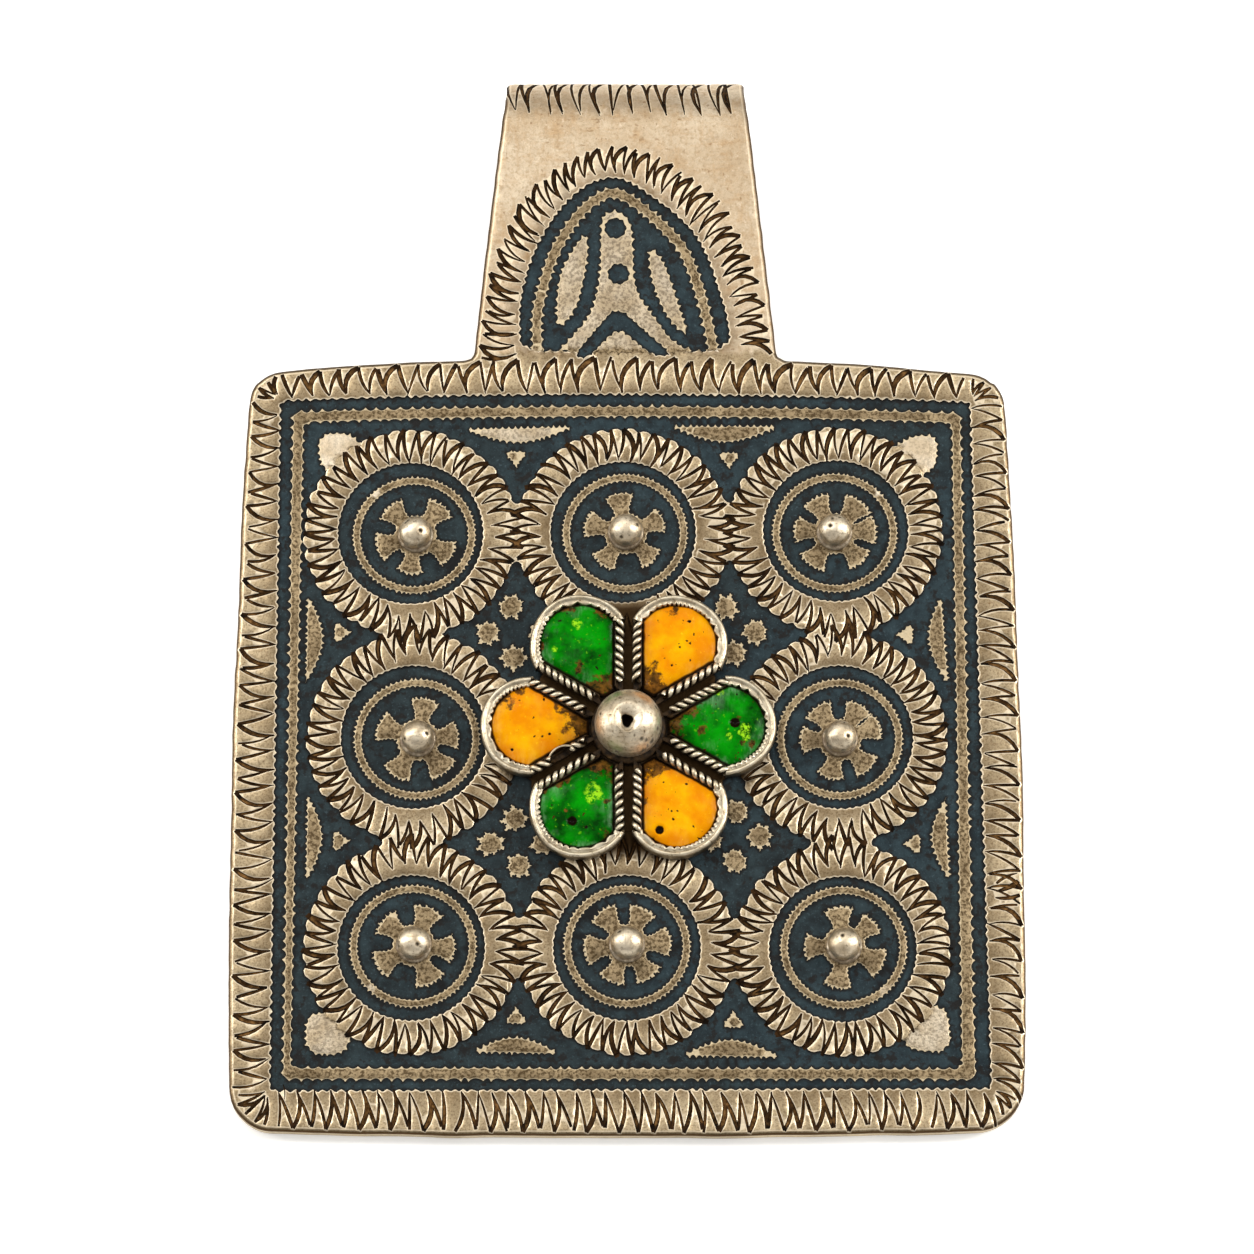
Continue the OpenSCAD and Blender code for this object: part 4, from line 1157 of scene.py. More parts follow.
def build_rosette(mat):
    j = Join()
    rng = random.Random(700)
    wire, residue = 0, 1
    # The middle of a rope runs from the foot to the shoulder
    foot, (sx, sy) = (GAP + 0.36) / 0.5, petal_shoulder(0.36)
    start = 2.35 / math.hypot(sx - foot, sy)
    t0, t1 = ((x - foot) / (sx - foot) for x in BREAK)
    for i in range(6):
        turn = 60 * i

        def add(pts, faces, slot, dirt_and_shade):
            j.add(from_petal(turn, pts), faces, slot, dirt_and_shade)

        # Base sheet of the petal
        base = np.array([((GAP + 0.3) / 0.5, 0.0)] + petal_arc(0.3, 48))
        n = len(base)
        add(np.vstack([np.column_stack([base, np.full(n, z)]) for z in (PLATE_T, BASE_Z)]),
            ring_caps(2, n) + ring_quads(2, n), residue, 1.0)
        for hand in (1, -1):
            # The rope, which is broken on one side of the fourth petal
            broken = i == 3 and hand > 0
            for ends in ((start, t0), (t1, 1.0)) if broken else ((start, 1.0),):
                a, b = ((foot + (sx - foot) * u, hand * sy * u) for u in ends)
                lay = 1.26 + 0.08 * rng.random()
                for pts, faces, deep in rope(a, b, BASE_Z + 0.83, lay, 710 + 2 * i + (hand > 0), hand):
                    add(pts, faces, wire, deep)
            if broken:
                s = np.linspace(0, 1, 30)
                u = t0 - 0.02 + (t1 - t0 + 0.04) * s
                off = 0.1 + 0.42 * np.sin(math.pi * s) ** 0.8
                path = np.column_stack([foot + (sx - foot) * u + 0.5 * off, sy * u - 0.87 * off,
                                        BASE_Z + 0.98 + 0.08 * np.sin(math.pi * s)])
                add(*tube(path, 0.085 * (1 + 0.15 * np.sin(11 * s)), 8), wire, 0.2)

            def strip(profile, u, lift, sag, dirt_and_shade):
                """A body along the side. profile: inset and height; its upper corners follow lift."""
                if broken:
                    lift = lift - sag * np.clip(1.6 - abs(u - (t0 + t1) / 2) / (t1 - t0) * 3, 0, 1)
                rows = []
                for d, z in profile:
                    x0, (x, y) = (GAP + d) / 0.5, petal_shoulder(d)
                    rows.append(np.column_stack([x0 + (x - x0) * u, hand * y * u, z + lift * (z > 2)]))
                add(*sweep(rows[::hand]), residue, dirt_and_shade)

            # The cell wall behind the rope, and a dark bed under it
            u = np.linspace(0.22, 1, 40)
            strip(((0.52, BASE_Z - 0.05), (0.52, 2.6), (0.66, 2.74), (0.74, 2.7), (0.76, BASE_Z - 0.05)), u,
                  0.03 * np.sin(9 * u + i) + 0.02 * np.sin(31 * u + 2 * i), 0.55, 0.7)
            u = np.linspace(0.24, 0.99, 40)
            strip(((0.1, BASE_Z - 0.05), (0.12, 2.45), (0.6, 2.45), (0.6, BASE_Z - 0.05)), u, 0 * u, 0.4, 1.0)

        # Round band with a notched lip on its inner side: inset, height and painted shade, darker on the walls
        # and in the groove
        band = ((0.08, PLATE_T + 0.05, 0.9), (0.0, 2.0, 0.85), (0.0, 2.7, 0.6), (0.05, 2.93, 0.2),
                (0.15, 3.07, 0.0), (0.27, 3.09, 0.0), (0.36, 3.0, 0.22), (0.45, 2.91, 0.5), (0.53, 2.93, 0.42),
                (0.61, 3.03, 0.0), (0.7, 3.02, 0.0), (0.77, 2.8, 0.35), (0.78, 2.4, 0.9),
                (0.78, BASE_Z - 0.04, 0.9))
        n = 150
        k = np.arange(n) / n
        phase = rng.uniform(0, 6.3)
        tooth = np.abs(np.sin(math.pi * (k * 19 + 1.6 * np.sin(7 * k + phase)) + phase))
        slow = 0.05 * np.sin(5 * k + phase) + 0.03 * np.sin(13 * k + 2 * phase)
        rows, dirt_and_shade = [], []
        for d, z, band_shade in band:
            lip = d > 0.55
            path = np.array(petal_arc(d, n))
            out = path - [PETAL_AT, 0]
            out = out / np.linalg.norm(out, axis=1)[:, None]
            if lip and z > 2.2:
                path = path - out * ((0.17 + 0.07 * np.sin(19 * k + phase)) * (tooth - 0.5))[:, None]
            if z > 1.9:
                path = path + out * (slow if d > 0.02 or z > 2.5 else 0.5 * slow)[:, None]
            height = np.full(n, z)
            if z > 2.8:
                height = height - 0.03 + 0.035 * np.sin(17 * k + phase) - 0.05 * (np.abs(k - 0.5) > 0.46)
                if lip:
                    height = height - 0.07 * tooth
            rows.append(np.column_stack([path, height]))
            # Painted shade in the lip's notches; faint stripes elsewhere
            spot = 0.3 * np.clip(1.5 * tooth - 0.6, 0, 1) if lip else 0.12 * np.sin(40 * k + 9 * d)
            dirt_and_shade.append(np.clip(band_shade + spot, 0, 1))
        add(*sweep(rows), wire, np.concatenate(dirt_and_shade))
    # The hub, a ring under the boss
    prof = [(0.62, PLATE_T), (2.88, PLATE_T), (2.9, 2.1), (2.82, 2.42), (2.6, 2.49), (0.62, 2.5)]
    n = 60
    last = n * (len(prof) - 1)
    faces = ring_quads(len(prof), n) + [(last + i, last + (i + 1) % n, (i + 1) % n, i) for i in range(n)]
    j.add(lathe(prof, n, *ROSE), faces, residue, 1.0)
    pts, faces, mats, attr = j.arrays()
    ob = add_mesh("rosette", to_row(pts), faces, [mat["wire"], mat["residue"]], mats, {"dirt_and_shade": attr}, 60)
    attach(ob, "root")
    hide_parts("rosette_frame")


# Spots on the enamel: petal, x, y, radius, then what it is
SPOTS = {
    "brown": [(3, -4.4, 10.0, 0.52), (3, -1.8, 9.8, 0.69), (3, -2.0, 3.7, 0.92), (3, -5.5, 8.2, 0.18),
        (3, -3.6, 5.3, 0.64), (3, -6.7, 7.0, 0.4), (2, 3.5, 9.7, 0.64), (2, 1.7, 4.5, 0.95),
        (2, 1.2, 3.7, 0.69), (2, 7.0, 7.2, 0.15), (2, 2.1, 5.5, 0.4), (2, 2.5, 3.9, 0.46),
        (1, 3.5, 1.2, 0.7), (1, 5.2, 1.8, 0.52), (1, 8.8, -0.7, 0.31), (1, 9.7, -0.8, 0.4),
        (1, 8.7, 1.2, 0.28), (1, 5.8, 0.2, 0.52), (6, 1.7, -2.5, 1.01), (6, 2.9, -2.3, 0.55),
        (6, 1.4, -5.2, 0.23), (6, 0.9, -4.0, 0.28), (5, -1.8, -7.7, 0.43), (5, -5.1, -3.6, 0.67),
        (5, -6.5, -4.4, 0.4), (5, -2.0, -2.3, 0.76), (5, -4.7, -6.0, 0.21), (5, -1.5, -5.3, 0.34),
        (4, -9.1, 2.6, 0.7), (4, -8.2, 3.5, 0.46), (4, -9.0, 2.0, 0.18), (4, -4.1, 1.2, 0.76),
        (4, -3.5, 0.6, 0.76), (4, -5.2, 2.1, 0.52), (4, -4.8, 0.3, 0.4)],
    "pale": [(1, 9.1, 0.5, 0.37), (1, 9.2, -0.1, 0.37), (1, 7.8, -0.2, 0.28), (1, 8.7, 0.1, 0.18),
        (5, -2.6, -4.5, 0.61), (5, -2.8, -5.1, 0.4), (5, -2.0, -4.9, 0.28), (3, -3.8, 8.7, 0.4),
        (3, -5.6, 6.7, 0.21), (1, 7.1, 3.4, 0.34), (1, 6.1, 3.1, 0.21), (5, -5.8, -5.7, 0.18)],
    "hole": [(1, 8.3, 0.9, 0.37), (5, -4.2, -6.8, 0.34), (6, 2.5, -7.5, 0.31), (6, 1.9, -8.3, 0.23),
        (3, -2.3, 5.2, 0.12), (2, 4.2, 8.7, 0.11), (2, 2.5, 8.9, 0.09), (2, 4.8, 8.9, 0.14),
        (2, 3.4, 5.4, 0.09), (2, 4.1, 6.9, 0.08), (1, 8.5, 3.2, 0.09), (1, 7.8, 2.7, 0.08),
        (1, 7.7, 1.9, 0.09), (6, 3.1, -6.1, 0.08), (6, 3.4, -6.1, 0.08), (6, 3.5, -6.6, 0.11),
        (6, 4.5, -3.9, 0.09), (6, 5.1, -7.3, 0.09), (6, 5.5, -8.1, 0.09), (4, -5.9, 0.0, 0.11),
        (4, -6.5, -0.1, 0.08), (4, -6.4, 2.8, 0.09), (4, -8.8, -1.2, 0.09), (3, -4.6, 9.5, 0.09),
        (3, -5.2, 9.0, 0.09), (5, -3.1, -7.3, 0.11), (5, -5.7, -5.6, 0.08)],
}


def build_enamel(mat):
    # Outline in the petal's frame: the round end, the straight sides and the cut-off foot
    foot_x, f, g = 3.05, (GAP + 0.78) / 0.5, petal_shoulder(0.78)
    half = g[1] / (g[0] - f) * (foot_x - f)
    upper = [(g[0] + (foot_x - g[0]) * t, g[1] + (half - g[1]) * t) for t in np.linspace(0, 1, 40)[1:-1]]
    foot = [(foot_x, half * (1 - 2 * t)) for t in np.linspace(0, 1, 5)]
    rim = resample(ccw(petal_arc(0.74, 120) + upper + foot + [(x, -y) for x, y in upper[::-1]]), 0.16)
    for i in range(6):
        turn = 60 * i
        rng = random.Random(800 + i)
        wob = 0.035 * noise2(rim[:, 0], rim[:, 1], 820 + i, 0.8) + 0.02
        p = np.array(ccw(rim + normals(rim) * wob[:, None]))
        sk = Sketch()
        sk.region(p, "enamel")
        for d in (0.1, 0.25):
            sk.line(inset(p, d))
        tree = tree_of(sk.points)
        y = -4.2
        while y < 4.2:
            x = 2.8 + rng.uniform(0, 0.2)
            while x < 11.4:
                q = (x + rng.uniform(-0.05, 0.05), y + rng.uniform(-0.04, 0.04))
                if tree.find((*q, 0))[2] > 0.09:
                    sk.points.append(q)
                x += 0.2
            y += 0.175
        verts, tris, _, _ = sk.solve()
        n = len(verts)
        edge = boundary(tris, np.ones(len(tris), bool))
        d = link_distance(verts, edge, 2.5)[0]
        x, y = verts.T
        root = np.clip((5.2 - x) / 2.4, 0, 1)
        top = 2.62 + 0.36 * (1 - np.exp(-d / 0.55)) + 0.06 * np.clip(d / 2.5, 0, 1)
        top = top + 0.03 * noise2(x, y, 840 + i, 1.6) + 0.015 * noise2(x, y, 850 + i, 0.6) - 0.3 * root
        px, py, _ = from_petal(turn, np.column_stack([x, y, top])).T
        spot = {k: np.zeros(n) for k in SPOTS}
        ragged = 0.22 * noise2(px, py, 860 + i, 0.7)
        for key, rows in SPOTS.items():
            for _, hx, hy, hr in (row for row in rows if row[0] == i + 1):
                far = np.hypot(px - hx, py - hy) / hr
                fade = 1.5 - far if key == "hole" else 1.5 - far + ragged
                spot[key] = np.maximum(spot[key], np.clip(fade, 0, 1))
                if key == "hole":
                    top = top - min(0.45, 1.6 * hr) * np.clip(1.25 - far, 0, 1) ** 0.7
        top = top - 0.06 * spot["brown"]
        pts = from_petal(turn, np.vstack([np.column_stack([x, y, h]) for h in (top, np.full(n, BASE_Z))]))
        faces = [tuple(t) for t in tris] + [tuple(t[::-1] + n) for t in tris]
        faces += [(a, a + n, b + n, b) for a, b in edge]
        # The edge value marks the dark line at the rim; the slower falloff from the rim sets a darker rim tint
        # and where the painted sheen lies
        attrs = {key: np.append(np.exp(-d / width), np.ones(n))
                 for key, width in (("edge", 0.18), ("rim_sheen", 0.65))}
        for key, v in (("root", root), *spot.items()):
            attrs[key] = np.append(v, v)
        ob = add_mesh(f"enamel_{i + 1}", to_row(pts), faces, [mat["yellow" if i % 2 else "green"]], None,
                      attrs, 60)
        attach(ob, "root")
        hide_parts(f"enamel_petal_{i + 1}")


def build_boss(mat):
    (cx, cy), r, cz, n = ROSE, 2.6, 3.6, 96
    # Rivet, foot, ball and the hole on top
    prof = [(0.001, -0.3), (0.7, -0.29), (1.0, -0.2), (1.1, -0.02), (0.6, 0.0), (0.6, 2.52), (2.3, 2.52)]
    prof += [polar(0, cz, r, a) for a in np.linspace(math.asin(-1.05 / r), 1.14, 26)]
    prof += [(1.0, 5.94), (0.86, 5.9), (0.7, 5.82), (0.56, 5.74), (0.47, 5.66), (0.42, 5.56), (0.42, 5.2),
             (0.3, 5.0), (0.001, 4.98)]
    pts = lathe(prof, n, cx, cy, 0.003, 640)
    # The hole lies a little off the middle and is drawn out to a point below
    near = np.hypot(pts[:, 0] - cx, pts[:, 1] - cy)
    w = np.where(pts[:, 2] > 4.5, np.clip((1.2 - near) / 0.7, 0, 1), 0)
    a = np.arctan2(pts[:, 1] - cy, pts[:, 0] - cx)
    jag = 1 + 0.12 * np.sin(3 * a + 1.0) + 0.35 * np.clip(np.cos(a + math.pi / 2 - 0.15), 0, 1) ** 6
    pts[:, 0] += w * (pts[:, 0] - cx) * (jag - 1) + w * -0.1
    pts[:, 1] += w * (pts[:, 1] - cy) * (jag - 1) + w * -0.16
    rng = random.Random(650)
    # Painted shade: the walls of the hole are marked to turn near black
    pits = np.where((pts[:, 2] < 5.6) & (pts[:, 2] > 4.5) & (near < 0.62), 1.0, 0.0)
    for _ in range(34):
        turn = rng.uniform(0, 2 * math.pi)
        rise = rng.uniform(-0.2, 0.6) if rng.random() < 0.6 else rng.uniform(-0.2, 1.0)
        size = rng.uniform(0.08, 0.24)
        pts, pits = ball_pit(pts, pits, np.array([cx, cy, cz]), r, turn, rise, size, 1.3, size * 1.6, 0.035)
    # Painted shade: the boss darkens toward its foot, more on one side
    way = np.cos(np.arctan2(pts[:, 1] - cy, pts[:, 0] - cx) + 0.9)
    dirt_and_shade = np.clip((5.5 + 0.4 * way - pts[:, 2]) / 2.0, 0, 1) * (pts[:, 2] > 2)
    faces = ring_quads(len(prof), n) + ring_caps(len(prof), n)
    ob = add_mesh("boss", to_row(pts), faces, [mat["ball"]], None, {"pit": pits, "dirt_and_shade": dirt_and_shade}, 50)
    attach(ob, "root")
    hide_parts("centre_boss")


# ---- Materials

def linear(r, g, b):
    """Display colour 0..255 to linear."""
    return tuple(((c / 255 + 0.055) / 1.055) ** 2.4 if c > 10 else c / 255 / 12.92 for c in (r, g, b))


class Mat:
    """A node material under one Principled shader. Colours are display values from 0 to 255."""
    def __init__(self, name, **sockets):
        self.m = bpy.data.materials.new(name)
        self.m.use_nodes = True
        self.t = self.m.node_tree
        self.b = self.t.nodes["Principled BSDF"]
        for k, v in sockets.items():
            self.b.inputs[k.replace("_", " ")].default_value = v
        self.pos = self.node("ShaderNodeTexCoord").outputs["Object"]

    def put(self, node, key, v):
        """Link a socket to a node's input, or set a constant on it."""
        if hasattr(v, "is_linked"):
            self.t.links.new(v, node.inputs[key])
        else:
            node.inputs[key].default_value = v

    def node(self, kind, **inputs):
        n = self.t.nodes.new(kind)
        for k, v in inputs.items():
            if k in n.inputs:
                self.put(n, k, v)
            else:
                setattr(n, k, v)
        return n

    def noise(self, scale, detail=2.0, rough=0.5, stretch=None):
        """Noise whose pattern is about 1/scale millimetres wide."""
        vec = self.pos
        if stretch:
            vec = self.node("ShaderNodeMapping", Vector=vec, Scale=stretch).outputs[0]
        n = self.node("ShaderNodeTexNoise", Vector=vec, Scale=scale * 1000, Detail=detail, Roughness=rough)
        return n.outputs["Fac"]

    def attr(self, name):
        return self.node("ShaderNodeAttribute", attribute_name=name).outputs["Fac"]

    def ramp(self, fac, *stops):
        n = self.t.nodes.new("ShaderNodeValToRGB")
        self.put(n, 0, fac)
        r = n.color_ramp
        while len(r.elements) < len(stops):
            r.elements.new(0.5)
        for e, (p, c) in zip(r.elements, stops):
            e.position = p
            e.color = (*linear(*c), 1) if isinstance(c, tuple) else (c, c, c, 1)
        return n.outputs[0]

    def cloud(self, noise, *stops):
        """A ramp over noise."""
        return self.ramp(self.noise(*noise), *stops)

    def mix(self, fac, a, b):
        n = self.node("ShaderNodeMix", data_type="RGBA")
        for i, v in ((0, fac), (6, a), (7, b)):
            self.put(n, i, (*linear(*v), 1) if isinstance(v, tuple) else v)
        return n.outputs[2]

    def patch(self, base, noise, low, high, colour, by=None):
        """Patches of a colour over the base where the noise is high, weakened by a socket or number."""
        fac = self.cloud(noise, low, high)
        return self.mix(fac if by is None else self.times(fac, by), base, colour)

    def math(self, op, a, b, clamp=False):
        n = self.node("ShaderNodeMath", operation=op, use_clamp=clamp)
        self.put(n, 0, a)
        self.put(n, 1, b)
        return n.outputs[0]

    def times(self, a, b, clamp=False):
        return self.math("MULTIPLY", a, b, clamp)

    def end(self, base, rough, *bumps):
        """Link colour and roughness. bumps: (noise, height in millimetres)."""
        self.put(self.b, "Base Color", base)
        self.put(self.b, "Roughness", rough)
        last = None
        for noise, height in bumps:
            n = self.node("ShaderNodeBump", Height=self.noise(*noise), Distance=height * 0.001, Strength=1.0)
            if last:
                self.put(n, "Normal", last)
            last = n.outputs[0]
        self.put(self.b, "Normal", last)
        return self.m


# Enamel colours, with the whitish colour and the strength of a painted sheen along the rims
GLASS = {
    "green": dict(low=(0, 54, 1), high=(0, 146, 1), fleck=(110, 190, 16), streak=(0, 42, 3),
                  pale=(150, 214, 30), rim_sheen=(140, 196, 140), rim=(0, 52, 2), sheen=0.7),
    "yellow": dict(low=(230, 138, 0), high=(246, 178, 0), fleck=(255, 204, 30), streak=(206, 104, 0),
                   pale=(255, 220, 90), rim_sheen=(255, 214, 110), rim=(180, 92, 0), sheen=0.3)}


def make_materials():
    mat = {}
    m = Mat("silver_worn", Metallic=1.0)
    wear, rosette_shadow, side = m.attr("wear"), m.attr("rosette_shadow"), m.attr("side")
    fresh = m.math("SUBTRACT", 1.0, m.times(wear, 0.75))
    base = m.cloud((0.25, 3), (0.35, (172, 152, 120)), (0.65, (204, 184, 150)))
    bright = m.cloud((0.16, 4, 0.6), (0.35, (198, 176, 146)), (0.6, (219, 202, 176)))
    for stretch in ((1, 0.3, 1), (0.35, 1, 1)):
        bright = m.patch(bright, (1.3, 3, 0.65, stretch), (0.52, 0), (0.72, 0.55), (190, 156, 114))
    bright = m.patch(bright, (3.2, 4, 0.65), (0.5, 0), (0.66, 0.5), (174, 146, 110))
    bright = m.patch(bright, (1.9, 5, 0.7), (0.56, 0), (0.7, 0.5), (238, 224, 200))
    for stretch in ((1, 0.4, 1), (0.4, 1, 1)):
        bright = m.patch(bright, (2.6, 2, 0.5, stretch), (0.68, 0), (0.74, 0.6), (150, 118, 80))
    base = m.mix(wear, base, bright)
    base = m.patch(base, (4.0, 3, 0.6), (0.48, 0), (0.7, 1), (124, 102, 72), m.times(fresh, 0.6))
    base = m.patch(base, (7.0, 2), (0.5, 0), (0.66, 0.5), (96, 76, 52), fresh)
    base = m.patch(base, (2.4, 2), (0.68, 0), (0.74, 1), (132, 98, 62), 0.5)
    # Darker toward the tiles' inner ends, mottled by noise
    dirt_and_shade = m.times(m.attr("dirt_and_shade"), m.cloud((0.8, 3), (0.3, 0.4), (0.65, 1)), True)
    base = m.mix(m.times(dirt_and_shade, 0.75), base, (98, 78, 52))
    # Painted shade on the plate's rolled outer edge
    base = m.mix(m.ramp(side, (0.1, 1), (0.27, 0)), base, (78, 58, 36))
    # Painted highlights: bright lines along the niello's edges, beside the cuts, and just inside the plate's
    # rolled outer edge
    line = m.math("MAXIMUM", m.ramp(m.attr("near"), (0.02, 0.85), (0.11, 0)),
                  m.ramp(m.attr("slit"), (0.02, 0.75), (0.1, 0)))
    line = m.math("MAXIMUM", line, m.ramp(side, (0.25, 0), (0.31, 0.8), (0.4, 0)))
    base = m.mix(line, base, (238, 222, 194))
    # Painted shadow round the rosette
    base = m.mix(rosette_shadow, base, (62, 46, 28))
    rough = m.math("ADD", m.cloud((1.5, 3), (0.3, 0.34), (0.7, 0.48)),
                   m.times(m.math("ADD", rosette_shadow, wear), 0.1), True)
    mat["silver"] = m.end(base, rough, ((1.2, 4, 0.6), 0.05), ((2.0, 3, 0.6, (1, 0.12, 1)), 0.01),
                          ((7, 3, 0.6), 0.02))

    m = Mat("silver_reserved", Metallic=1.0)
    wear = m.attr("wear")
    base = m.cloud((0.7, 3), (0.35, (138, 120, 92)), (0.65, (172, 152, 119)))
    base = m.mix(wear, base, m.cloud((0.5, 3), (0.35, (206, 188, 160)), (0.6, (238, 225, 203))))
    fresh = m.math("SUBTRACT", 1.0, m.times(wear, 0.72))
    base = m.patch(base, (4.0, 3, 0.6), (0.45, 0), (0.59, 0.85), (74, 58, 38), fresh)
    # Painted highlight: a thin bright line along the edges
    base = m.mix(m.ramp(m.attr("near"), (0.015, 0.8), (0.07, 0)), base, (216, 199, 166))
    mat["reserved"] = m.end(base, m.cloud((3, 2), (0.3, 0.45), (0.7, 0.62)), ((2.2, 3), 0.04), ((7, 2), 0.05))

    m = Mat("cut_patina", Metallic=0.0, Specular_IOR_Level=0.05)
    base = m.cloud((1.6, 3), (0.4, (18, 11, 5)), (0.72, (62, 41, 20)))
    middle = m.times(m.ramp(m.attr("depth"), (0.25, 0), (0.65, 1)), m.cloud((0.7, 3), (0.4, 0.15), (0.6, 1)))
    base = m.mix(middle, base, m.cloud((3.0, 2), (0.4, (82, 56, 28)), (0.65, (140, 103, 60))))
    mat["cut"] = m.end(base, m.cloud((3, 2), (0.3, 0.6), (0.7, 0.85)), ((6, 2), 0.02))

    m = Mat("silver_back", Metallic=1.0)
    base = m.cloud((0.12, 5, 0.6), (0.35, (150, 134, 108)), (0.65, (204, 186, 154)))
    base = m.patch(base, (2.5, 4, 0.7), (0.55, 0), (0.72, 0.7), (88, 72, 52))
    mat["back"] = m.end(base, m.cloud((0.6, 4), (0.3, 0.34), (0.7, 0.52)), ((0.5, 3), 0.06),
                        ((2.0, 3, 0.5, (1, 0.08, 1)), 0.012), ((8, 2), 0.008))

    m = Mat("niello", Metallic=0.1, Specular_IOR_Level=0.2)
    base = m.cloud((0.9, 4, 0.6), (0.3, (15, 23, 26)), (0.7, (41, 55, 59)))
    blue = m.cloud((0.9, 4, 0.6), (0.3, (20, 33, 39)), (0.7, (44, 62, 69)))
    base = m.patch(base, (0.07, 2), (0.46, 0), (0.6, 0.7), blue)
    base = m.patch(base, (5.0, 3, 0.6), (0.58, 0), (0.74, 0.45), (78, 98, 106))
    base = m.patch(base, (1.1, 4, 0.65), (0.53, 0), (0.62, 0.9), (22, 19, 17))
    base = m.mix(m.ramp(m.attr("near"), (0.05, 0.95), (0.24, 0)), base, (10, 10, 10))
    mat["niello"] = m.end(base, m.cloud((2, 3), (0.3, 0.4), (0.7, 0.62)), ((1.6, 4, 0.6), 0.06), ((7, 2), 0.02))

    m = Mat("ball", Metallic=1.0)
    pit = m.attr("pit")
    base = m.cloud((0.7, 3), (0.35, (220, 202, 172)), (0.65, (250, 237, 212)))
    base = m.patch(base, (4.5, 3), (0.58, 0), (0.68, 0.6), (130, 106, 76))
    for stretch in ((1, 0.18, 1), (0.2, 1, 1)):
        base = m.patch(base, (3.0, 3, 0.6, stretch), (0.52, 0), (0.68, 0.45), (150, 126, 94))
    # Painted shade toward the lower part of studs and boss and on one side of the boss; it also makes them less
    # metallic there
    dirt_and_shade = m.times(m.attr("dirt_and_shade"), m.cloud((2.2, 4, 0.65), (0.35, 0.45), (0.6, 1.1)), True)
    base = m.mix(m.times(dirt_and_shade, 0.85), base, (88, 68, 44))
    # Dark pits, and painted shade in the boss's hole
    base = m.mix(pit, base, (34, 24, 14))
    m.put(m.b, "Metallic", m.math("SUBTRACT", 1.0, m.times(dirt_and_shade, 0.6)))
    rough = m.math("ADD", m.cloud((2, 3), (0.3, 0.36), (0.7, 0.5)), pit, True)
    mat["ball"] = m.end(base, rough, ((1.4, 3), 0.04), ((2.0, 3, 0.6, (1, 0.15, 1)), 0.014), ((7, 2), 0.012))

    m = Mat("wire", Metallic=1.0)
    base = m.cloud((1.2, 3), (0.35, (216, 200, 170)), (0.65, (246, 234, 208)))
    base = m.patch(base, (4.5, 3), (0.57, 0), (0.68, 0.7), (136, 112, 82))
    # Painted shade with brown patina: dark in the rope's crevices, on the band's walls, in its groove and
    # notches
    base = m.mix(m.attr("dirt_and_shade"), base, (52, 38, 22))
    mat["wire"] = m.end(base, m.cloud((2, 3), (0.3, 0.34), (0.7, 0.5)), ((2.5, 3), 0.03))

    m = Mat("residue", Metallic=0.1, Specular_IOR_Level=0.2)
    base = m.cloud((1.8, 4, 0.6), (0.4, (30, 21, 12)), (0.66, (74, 54, 30)), (0.8, (126, 98, 62)))
    mat["residue"] = m.end(base, m.cloud((3, 2), (0.3, 0.5), (0.7, 0.8)), ((2.4, 3), 0.06))

    for key, c in GLASS.items():
        m = Mat(key + "_glass", Metallic=0.0, Specular_IOR_Level=0.02, Coat_Weight=0.06, Coat_Roughness=0.05)
        rim_sheen, edge = m.attr("rim_sheen"), m.attr("edge")
        base = m.cloud((0.5, 4, 0.6), (0.35, c["low"]), (0.62, c["high"]))
        base = m.patch(base, (0.8, 3, 0.6), (0.6, 0), (0.75, 0.6), c["streak"])
        base = m.patch(base, (3.4, 2), (0.66, 0), (0.74, 0.6), c["fleck"])
        # Painted sheen: whitish streaks of reflection along the rims
        sheen_mask = m.times(rim_sheen, m.cloud((0.4, 4, 0.6), (0.48, 0), (0.62, 1)))
        sheen_mask = m.times(sheen_mask, m.cloud((2.6, 4, 0.65, (1, 0.22, 1)), (0.42, 0.1), (0.6, 1)))
        # Darker toward the rim, then the painted sheen over it
        base = m.mix(m.times(rim_sheen, 0.7), base, c["rim"])
        base = m.mix(m.times(sheen_mask, c["sheen"]), base, c["rim_sheen"])
        pale = m.times(m.ramp(m.attr("pale"), (0.3, 0), (0.7, 1)), m.cloud((3.0, 4, 0.7), (0.44, 0), (0.56, 1)))
        base = m.mix(pale, base, c["pale"])
        brown = m.cloud((2.2, 4, 0.65), (0.38, (30, 20, 9)), (0.66, (122, 78, 28)))
        ragged = m.math("ADD", m.times(edge, 0.6), m.times(m.attr("root"), 0.9))
        ragged = m.math("ADD", ragged, m.times(m.attr("brown"), 0.62))
        ragged = m.times(ragged, m.cloud((1.5, 5, 0.7), (0.36, 0.35), (0.62, 1.5)))
        base = m.mix(m.ramp(ragged, (0.4, 0), (0.68, 0.95)), base, brown)
        base = m.patch(base, (2.6, 1), (0.73, 0), (0.76, 1), (60, 34, 8))
        base = m.mix(m.ramp(edge, (0.26, 0), (0.5, 0.95)), base, (22, 14, 7))
        base = m.mix(m.ramp(m.attr("hole"), (0.3, 0), (0.5, 1)), base, (24, 15, 8))
        rough = m.math("ADD", m.cloud((1.2, 3), (0.3, 0.14), (0.7, 0.3)),
                       m.ramp(ragged, (0.42, 0), (0.6, 0.5)), True)
        mat[key] = m.end(base, rough, ((0.9, 3, 0.5), 0.05), ((4, 3, 0.6), 0.014))
    return mat


mat = make_materials()
build_front(mat)
build_studs(mat)
build_rosette(mat)
build_enamel(mat)
build_boss(mat)


# ---- Camera, light and floor

def soft_light(name, where, at, size, watts, colour):
    data = bpy.data.lights.new(name, "AREA")
    data.shape = "RECTANGLE"
    data.size, data.size_y = size
    data.energy = watts
    data.color = colour
    ob = link_new(name, data)
    ob.location = where
    ob.rotation_euler = (at - ob.location).normalized().to_track_quat("-Z", "Y").to_euler()


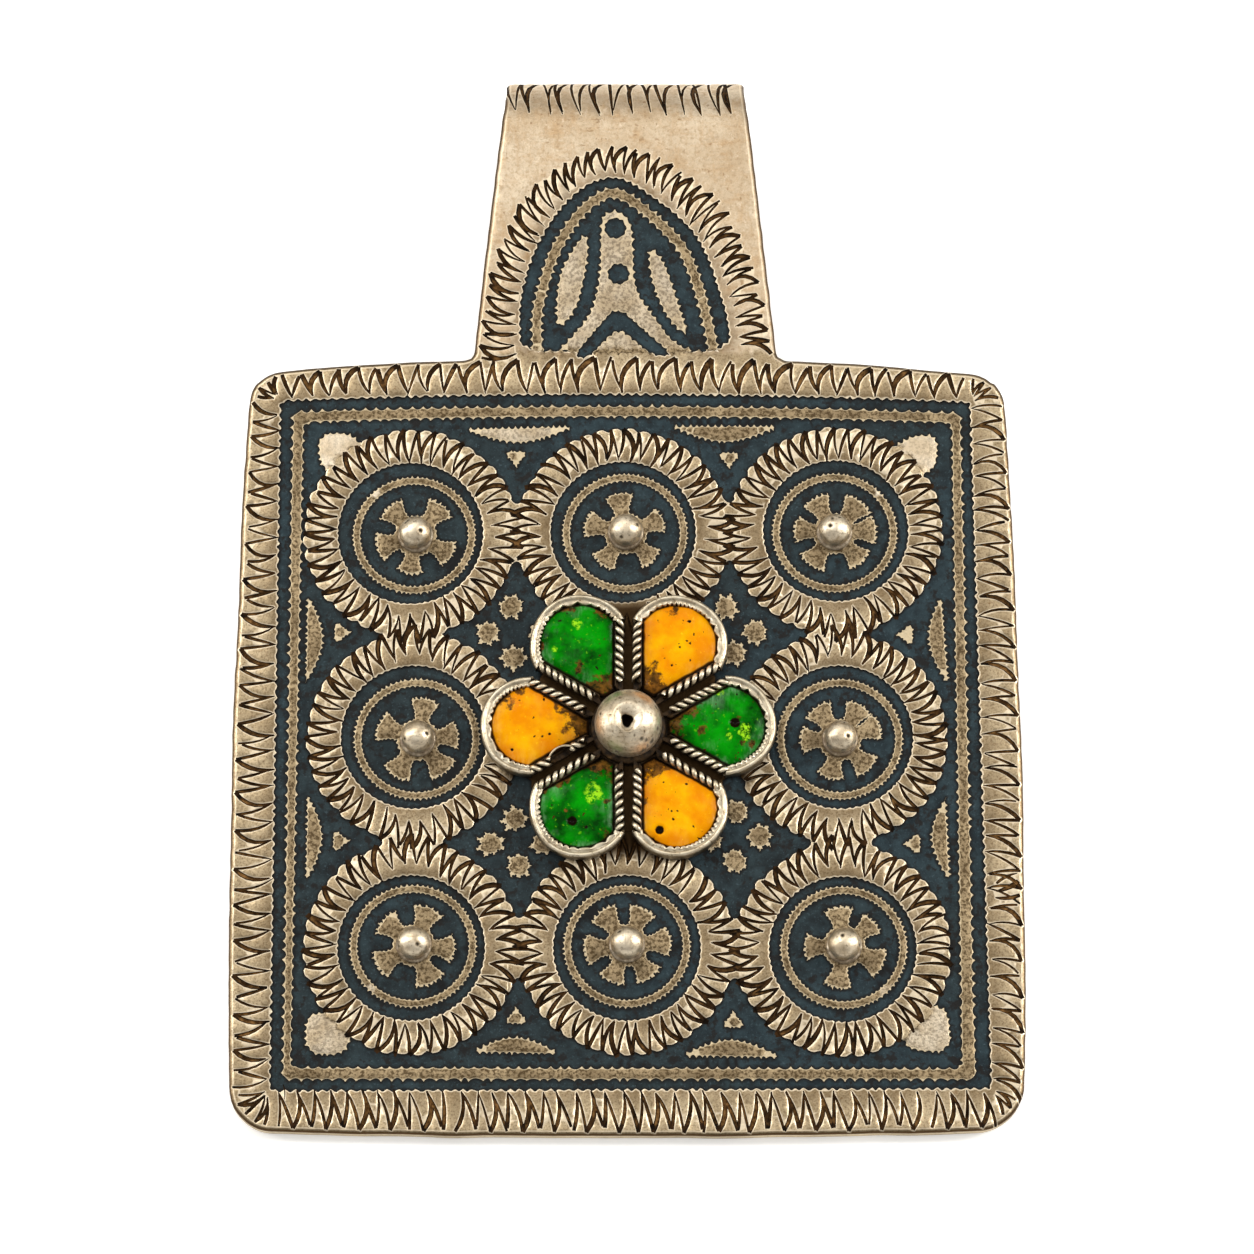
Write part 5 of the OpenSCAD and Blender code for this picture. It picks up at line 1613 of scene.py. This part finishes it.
target = Vector(to_row([(0, 8.8, PLATE_T)])[0])
lean = math.radians(13.5) + TILT
cam_data = bpy.data.cameras.new("camera")
cam = link_new("camera", cam_data)
cam.location = target + 0.5 * Vector((0, -math.sin(lean), math.cos(lean)))
cam.rotation_euler = (lean, 0, 0)
cam_data.sensor_width = 36.0
cam_data.lens = 6465 / 1254 * 36.0
cam_data.clip_start = 0.01
bpy.context.scene.camera = cam

# Pale all round, brightest overhead
world = bpy.data.worlds.new("world")
bpy.context.scene.world = world
world.use_nodes = True
wt = world.node_tree
coord = wt.nodes.new("ShaderNodeTexCoord")
dot = wt.nodes.new("ShaderNodeVectorMath")
dot.operation = "DOT_PRODUCT"
dot.inputs[1].default_value = (0.0, 0.12, 0.99)
shade = wt.nodes.new("ShaderNodeValToRGB")
for e, (at, v) in zip([shade.color_ramp.elements[0], shade.color_ramp.elements[1]] +
                      [shade.color_ramp.elements.new(0.5) for _ in range(2)],
                      ((0.2, 0.42), (1.0, 1.15), (0.72, 0.5), (0.93, 1.0))):
    e.position = at
    e.color = (v, 0.985 * v, 0.96 * v, 1)
wt.links.new(coord.outputs["Generated"], dot.inputs[0])
wt.links.new(dot.outputs["Value"], shade.inputs[0])
wt.links.new(shade.outputs[0], wt.nodes["Background"].inputs[0])
wt.nodes["Background"].inputs[1].default_value = 0.9
bpy.context.scene.view_settings.view_transform = "Standard"
soft_light("key", (-0.22, 0.14, 0.34), target, (0.2, 0.2), 0.45, (1.0, 0.97, 0.92))
soft_light("fill", (0.3, 0.02, 0.26), target, (0.16, 0.24), 0.42, (1.0, 0.98, 0.95))
soft_light("top", (0.0, 0.3, 0.36), target, (0.3, 0.2), 0.2, (1.0, 0.97, 0.92))
soft_light("left_strip", (-0.34, 0.03, 0.15), target, (0.06, 0.36), 0.6, (1.0, 0.99, 0.97))
soft_light("right_strip", (0.34, 0.03, 0.15), target, (0.06, 0.36), 0.75, (1.0, 0.99, 0.97))

floor_mesh = bpy.data.meshes.new("floor")
floor_mesh.from_pydata([(-1.5, -1.5, 0), (1.5, -1.5, 0), (1.5, 1.5, 0), (-1.5, 1.5, 0)], [], [(0, 1, 2, 3)])
floor = link_new("floor", floor_mesh)
floor_mesh.materials.append(Mat("floor", Roughness=0.8, Base_Color=(0.92, 0.92, 0.91, 1),
                                Emission_Color=(1, 1, 1, 1), Emission_Strength=0.35).m)
